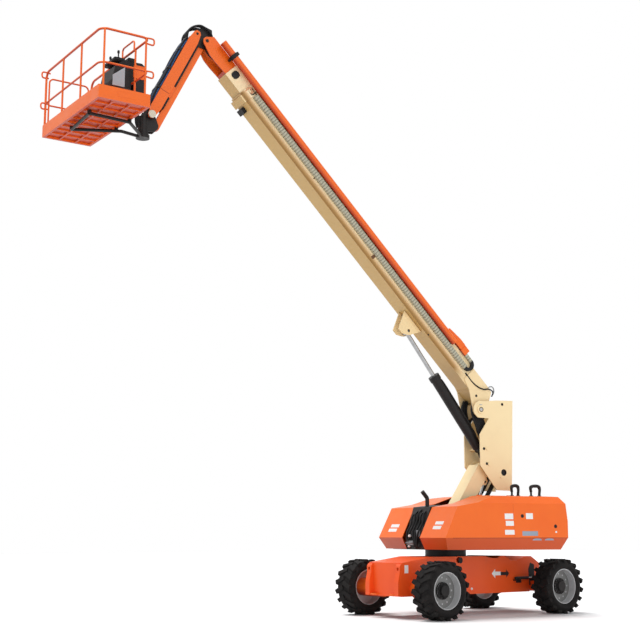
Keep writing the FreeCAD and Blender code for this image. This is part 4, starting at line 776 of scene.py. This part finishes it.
def buildNoseDetails():
    band = {"middle": (8.0, 0.272, 0.447), "ring": (0.0655, 0.079, 0.075),
            "lugs": [((8.005, 0.24, 0.52), (8.07, 0.30, 0.56)), ((8.01, 0.16, 0.352), (8.06, 0.25, 0.385))]}
    bm = bmesh.new()
    addRing(bm, band["middle"], (1, 0, 0), *band["ring"])
    for low, high in band["lugs"]:
        addBlock(bm, low, high, 0.006)
    makePiece("tube_clamp_band", bm, boomFrame, "fly_boom", "blackPlastic")
    # each row: x, share of the hose's y, z
    hose = {"across": (-0.09, -0.03, 0.03, 0.09), "radius": 0.015,
            "rows": [(7.98, 1, 0.40), (8.1, 1, 0.36), (8.25, 0.9, 0.27), (8.4, 0.8, 0.25), (8.52, 0.8, 0.30),
                     (8.60, 0.8, 0.38)]}
    paths = [[(x, y * share, z) for x, share, z in hose["rows"]] for y in hose["across"]]
    makeHoses("nose_hoses", paths, hose["radius"], boomFrame, "fly_boom", "hoseRubber")


def buildJibDetails():
    hose = {"start": 0.22, "end": 1.56, "levels": (0.113, 0.147), "radius": 0.0165, "sway": 0.012,
            "across": (-0.12, -0.08, -0.04, 0.0, 0.04, 0.08, 0.12)}
    start, end = hose["start"], hose["end"]
    dark, blue = [], []
    for row, level in enumerate(hose["levels"]):
        for i, y in enumerate(hose["across"]):
            rise = hose["sway"] * math.sin(i * 1.3 + row)
            paths = blue if (i + row) % 3 == 0 else dark
            paths.append([(start - 0.04, y * 0.9, level - 0.02), (start + 0.08, y, level),
                          (0.6, y, level + rise), (1.0, y, level - rise * 0.5), (1.35, y, level),
                          (end, y, level - 0.02), (end + 0.12, y * 0.8, 0.07 + 0.02 * row)])
    makeHoses("jib_hoses", dark, hose["radius"], jibFrame, "jib_upper_beam", "hoseRubber")
    makeHoses("jib_blue_hoses", blue, hose["radius"], jibFrame, "jib_upper_beam", "blueHose")
    clip = {"starts": (0.42, 0.85, 1.28), "width": 0.05, "half": 0.145, "side": 0.14, "sideHalf": 0.004}
    strip = {"y": 0.092, "half": 0.0075, "spans": ((0.15, 1.12), (1.36, 1.62)), "bridge": (1.12, 1.36),
             "bridgeHalf": 0.0085, "seam": (1.318, 1.326), "seamY": 0.1502, "seamHalf": 0.0006}

    # a block on each side, half to either side of y
    def pairOf(x0, x1, y, half, low, high):
        return [((x0, side * y - half, low), (x1, side * y + half, high)) for side in (1, -1)]

    clips, guides = [], []
    for x in clip["starts"]:
        far = x + clip["width"]
        clips += [((x, -clip["half"], 0.094), (far, clip["half"], 0.1)),
                  ((x, -clip["half"], 0.165), (far, clip["half"], 0.171))]
        clips += pairOf(x, far, clip["side"], clip["sideHalf"], 0.098, 0.168)
    makeBlocks("jib_hose_clips", clips, 0.002, jibFrame, "jib_upper_beam", "blackPaint", "black_paint")
    for x0, x1 in strip["spans"]:
        guides += pairOf(x0, x1, strip["y"], strip["half"], -0.138, -0.085)
    makeBlocks("jib_guide_strips", guides, 0.003, jibFrame, "jib_upper_beam", "blackPlastic")
    bridges = pairOf(*strip["bridge"], strip["y"], strip["bridgeHalf"], -0.14, -0.085)
    makeBlocks("jib_bridge_plates", bridges, 0.003, jibFrame, "jib_upper_beam", *orangeCoat)
    seams = pairOf(*strip["seam"], strip["seamY"], strip["seamHalf"], -0.09, 0.09)
    makeBlocks("jib_seams", seams, 0, jibFrame, "jib_upper_beam", "deepRed")


# loops over the knuckle; each row: x, share of the hose's y, z, and the shares of its own sway in x and z
def buildKnuckleHoses():
    loop = {"across": (-0.125, -0.075, -0.025, 0.025, 0.075, 0.125), "radius": 0.0165, "sway": 0.012,
            "rows": [(4.83, 0.8, 10.27, 0, 0), (4.88, 1, 10.40, 0, 1), (4.967, 1, 10.485, 0, 1),
                     (5.08, 1, 10.53, 0, 1), (5.2, 1, 10.50, 0, 1), (5.30, 1, 10.41, 0, 0),
                     (5.345, 1, 10.30, 1, 0), (5.33, 1, 10.20, 0, 0), (5.29, 0.9, 10.12, 0, 0)]}
    paths = []
    for i, y in enumerate(loop["across"]):
        sway = loop["sway"] * math.sin(i * 2.3)
        paths.append([(x + sway * ahead, y * share, z + sway * up)
                      for x, share, z, ahead, up in loop["rows"]])
    makeHoses("knuckle_hoses", paths, loop["radius"], turntableFrame, "jib_knuckle", "hoseRubber")


def buildBracketDetails():
    cap = {"y": 0.152, "profile": [(0.07, 0), (0.066, 0.012), (0.05, 0.016), (0.03, 0.017)]}
    bm = bmesh.new()
    for side in (1, -1):
        addTurned(bm, (0, side * cap["y"], 0), (0, side, 0), cap["profile"], 28)
    makePiece("bracket_pin_caps", bm, endFrame, "end_bracket", "paleSteel")
    # each row: x, share of the hose's y, z
    hose = {"across": (-0.06, 0.0, 0.06), "radius": 0.016,
            "rows": [(0.02, 1, 0.09), (0.09, 1, 0.13), (0.17, 1.2, 0.09), (0.225, 1.3, 0.0),
                     (0.225, 1.3, -0.12), (0.2, 1, -0.22)]}
    paths = [[(x, y * share, z) for x, share, z in hose["rows"]] for y in hose["across"]]
    makeHoses("bracket_hoses", paths, hose["radius"], endFrame, "end_bracket", "hoseRubber")


def buildConsoleDetails():
    console = {"sides": ((0.56, 1), (0.05, -1)), "sunk": 0.002, "paleOut": 0.006, "orangeOut": 0.012,
               "palePanel": [(-0.068, 0.525), (-0.068, 0.70), (-0.285, 0.875), (-0.285, 0.525)],
               "orangePanel": (-0.652, -0.44, 0.72, 0.955)}
    desk = {"blocks": [((-0.30, 0.07, 0.985), (-0.10, 0.54, 1.045)),
                       ((-0.47, 0.12, 1.015), (-0.34, 0.30, 1.12)),
                       ((-0.50, 0.36, 1.015), (-0.36, 0.52, 1.09))],
            "levers": (0.14, 0.47),
            "lever": [(0.035, 0), (0.03, 0.015), (0.02, 0.03), (0.012, 0.04), (0.011, 0.09), (0.02, 0.1),
                      (0.022, 0.13), (0.015, 0.15)],
            "switches": 6, "first": 0.20, "step": 0.042,
            "switch": [(0.010, 0), (0.010, 0.012), (0.005, 0.014), (0.006, 0.034)],
            "button": [(0.03, 0), (0.03, 0.008), (0.014, 0.01), (0.014, 0.02), (0.026, 0.022), (0.026, 0.036),
                       (0.018, 0.042)],
            "frontPlate": ((-0.11, 0.09, 0.66), (-0.075, 0.52, 0.74)), "frontLean": -11}
    x0, x1, z0, z1 = console["orangePanel"]
    rounded = ovalPoints(((x0 + x1) / 2, (z0 + z1) / 2), x1 - x0, z1 - z0, 28, 8)
    pale, orange = bmesh.new(), bmesh.new()
    for y, out in console["sides"]:
        addOutline(pale, console["palePanel"], y - out * console["sunk"], y + out * console["paleOut"])
        addOutline(orange, rounded, y - out * console["sunk"], y + out * console["orangeOut"])
    makePiece("console_pale_panels", pale, basketFrame, "basket", "palePanel")
    makePiece("console_orange_panels", orange, basketFrame, "basket", *orangeCoat)
    bm = bmesh.new()
    for low, high in desk["blocks"]:
        addBlock(bm, low, high, 0.012)
    for y in desk["levers"]:
        addTurned(bm, (-0.2, y, 1.04), upward, desk["lever"], 20)
    for i in range(desk["switches"]):
        addTurned(bm, (-0.15, desk["first"] + desk["step"] * i, 1.042), (0.2, 0, 1), desk["switch"], 10)
    makePiece("console_top_controls", bm, basketFrame, "basket", "blackPlastic")
    bm = bmesh.new()
    addTurned(bm, (-0.2, 0.305, 1.043), (0.1, 0, 1), desk["button"])
    makePiece("stop_button", bm, basketFrame, "basket", *orangeCoat)
    bm = bmesh.new()
    addBlock(bm, *desk["frontPlate"], 0.004, Matrix.Rotation(math.radians(desk["frontLean"]), 3, "Y"))
    makePiece("console_front_plate", bm, basketFrame, "basket", "greyPaint")


def buildBasketDetails():
    basket = {"toePlate": [((-0.19, 1.2185, 0.075), (0.12, 1.2225, 0.16))],
              "hooks": ((-0.428, 1.193), (0.428, -1.193)), "hookLevels": (1.195, 0.62), "hookRadius": 0.0145,
              "floorBolts": (-0.36, -0.1, 0.16, 0.42, 0.68), "runners": (-0.15, 0.15)}
    makeBlocks("toe_board_plate", basket["toePlate"], 0.001, basketFrame, "basket", *orangeCoat)
    # hooks where the end rails run past the long rails
    hooks = []
    for x, y in basket["hooks"]:
        out = -1 if x < 0 else 1
        for z in basket["hookLevels"]:
            hooks.append([(x - out * 0.07, y, z), (x + out * 0.07, y, z), (x + out * 0.07, y, z - 0.095),
                          (x - out * 0.04, y, z - 0.095)])
    makeHoses("rail_end_loops", hooks, basket["hookRadius"], basketFrame, "basket", *orangeCoat)
    makeBolts("floor_bolts", [(0.40, y, 0.04) for y in basket["floorBolts"]], upward, (0.011, 0.01),
              basketFrame, "basket", "greyPaint")
    runners = [((x - 0.015, -1.19, 0.002), (x + 0.015, 1.19, 0.012)) for x in basket["runners"]]
    makeBlocks("floor_runners", runners, 0.002, basketFrame, "basket", *orangeCoat)


# tread plate on the platform's floor: low pyramids on a lozenge, turned one way and the other
def buildTreadPlate():
    tread = {"rows": 11, "columns": 31, "width": 0.8, "length": 2.34, "long": 0.026, "short": 0.006,
             "foot": 0.0398, "top": 0.0425}
    rows, columns, long, short = tread["rows"], tread["columns"], tread["long"], tread["short"]
    bm = bmesh.new()
    for i in range(rows):
        for j in range(columns):
            x = tread["width"] * ((i + 0.5) / rows - 0.5)
            y = tread["length"] * ((j + 0.5) / columns - 0.5)
            a = math.radians(45 if (i + j) % 2 else -45)
            c, s = math.cos(a), math.sin(a)
            base = [bm.verts.new((x + c * p - s * q, y + s * p + c * q, tread["foot"])) for p, q in
                    ((-long, 0), (0, -short), (long, 0), (0, short))]
            top = bm.verts.new((x, y, tread["top"]))
            for k in range(4):
                bm.faces.new((base[k], base[(k + 1) % 4], top))
    makePiece("tread_plate", bm, basketFrame, "basket", *orangeCoat)


def buildCylinderDetails():
    pipe = {"y": 0.075, "level": 0.075, "radius": 0.011, "near": ((0.25, 0.40), (1.45, 1.6)),
            "far": ((0.20, 0.34), (1.5, 1.62))}
    place = frameAt(spotOf("lift_cylinder_turn"), axisOf("lift_cylinder_slide"), left)
    paths = []
    for hand, (foot, head) in ((1, pipe["near"]), (-1, pipe["far"])):
        y, level = hand * pipe["y"], pipe["level"]
        paths.append([(foot[0], y, 0.055), (foot[1], y, level), (0.9, y, level), (head[0], y, level),
                      (head[1], y * 0.9, 0.06)])
    makeHoses("lift_cylinder_pipes", paths, pipe["radius"], place, "lift_cylinder_barrel", "blackPaint",
              "black_paint")


buildWheelParts()
buildHoodDetails()
buildHandleGrips()
buildBayDetails()
print("wheels and hoods dressed")
buildChassisDetails()
buildUprightDetails()
buildFootHoses()
buildBoomFoot()
buildTailHoses()
buildTrackSide()
buildBoomSides()
buildNoseDetails()
print("chassis and boom dressed")
buildJibDetails()
buildKnuckleHoses()
buildBracketDetails()
buildConsoleDetails()
buildBasketDetails()
buildTreadPlate()
buildCylinderDetails()
print("jib, basket and lift cylinder dressed")


def buildStage():
    stage = {"half": 60.0, "colour": (0.93, 0.93, 0.93), "roughness": 0.95, "gloss": 0.1}
    mesh = bpy.data.meshes.new("floor")
    h = stage["half"]
    mesh.from_pydata([(-h, -h, 0), (h, -h, 0), (h, h, 0), (-h, h, 0)], [], [(0, 1, 2, 3)])
    floor = bpy.data.objects.new("floor", mesh)
    bpy.context.collection.objects.link(floor)
    mat, tree, shader = newMaterial("floorWhite")
    feed(tree, shader, {"Base Color": stage["colour"], "Roughness": stage["roughness"],
                        "Specular IOR Level": stage["gloss"]})
    floor.data.materials.append(mat)


def addSun(name, power, soft, tilt):
    lamp = bpy.data.lights.new(name, "SUN")
    lamp.energy = power
    lamp.angle = math.radians(soft)
    sun = bpy.data.objects.new(name, lamp)
    sun.rotation_euler = [math.radians(v) for v in tilt]
    bpy.context.collection.objects.link(sun)


def buildLight():
    light = {"topPower": 2.5, "topSoft": 30, "topTilt": (14, 10, 0), "fillPower": 0.85, "fillSoft": 70,
             "fillTilt": (62, 0, 166), "skyColour": (0.84, 0.85, 0.88), "skyPower": 0.52}
    addSun("overhead", light["topPower"], light["topSoft"], light["topTilt"])
    addSun("frontFill", light["fillPower"], light["fillSoft"], light["fillTilt"])
    world = bpy.data.worlds.new("studio")
    bpy.context.scene.world = world
    world.use_nodes = True
    tree = world.node_tree
    sky = tree.nodes["Background"]
    feed(tree, sky, {"Color": light["skyColour"], "Strength": light["skyPower"]})
    # the sky lights the machine, but looks white itself and in reflections
    white = addNode(tree, "ShaderNodeBackground", {"Color": (1, 1, 1)})
    path = tree.nodes.new("ShaderNodeLightPath")
    seen = path.outputs["Is Camera Ray"]
    for ray in ("Is Transmission Ray", "Is Glossy Ray"):
        seen = mathNode(tree, "MAXIMUM", {0: seen, 1: path.outputs[ray]})
    mix = addNode(tree, "ShaderNodeMixShader", {"Fac": seen, 1: sky.outputs[0], 2: white.outputs[0]})
    feed(tree, tree.nodes["World Output"], {"Surface": mix.outputs[0]})


def buildCamera():
    view = {"place": (16.050, 16.457, 1.504), "turn": 231.568, "rise": 10.0, "lens": 67.68, "sensor": 36,
            "farthest": 200}
    data = bpy.data.cameras.new("camera")
    data.lens = view["lens"]
    data.sensor_width = view["sensor"]
    data.clip_end = view["farthest"]
    camera = bpy.data.objects.new("camera", data)
    camera.location = view["place"]
    camera.rotation_euler = (math.radians(90 + view["rise"]), 0, math.radians(view["turn"] - 90))
    bpy.context.collection.objects.link(camera)
    bpy.context.scene.camera = camera


buildStage()
buildLight()
buildCamera()
print("stage and light set")
bpy.context.scene.view_settings.view_transform = "Standard"
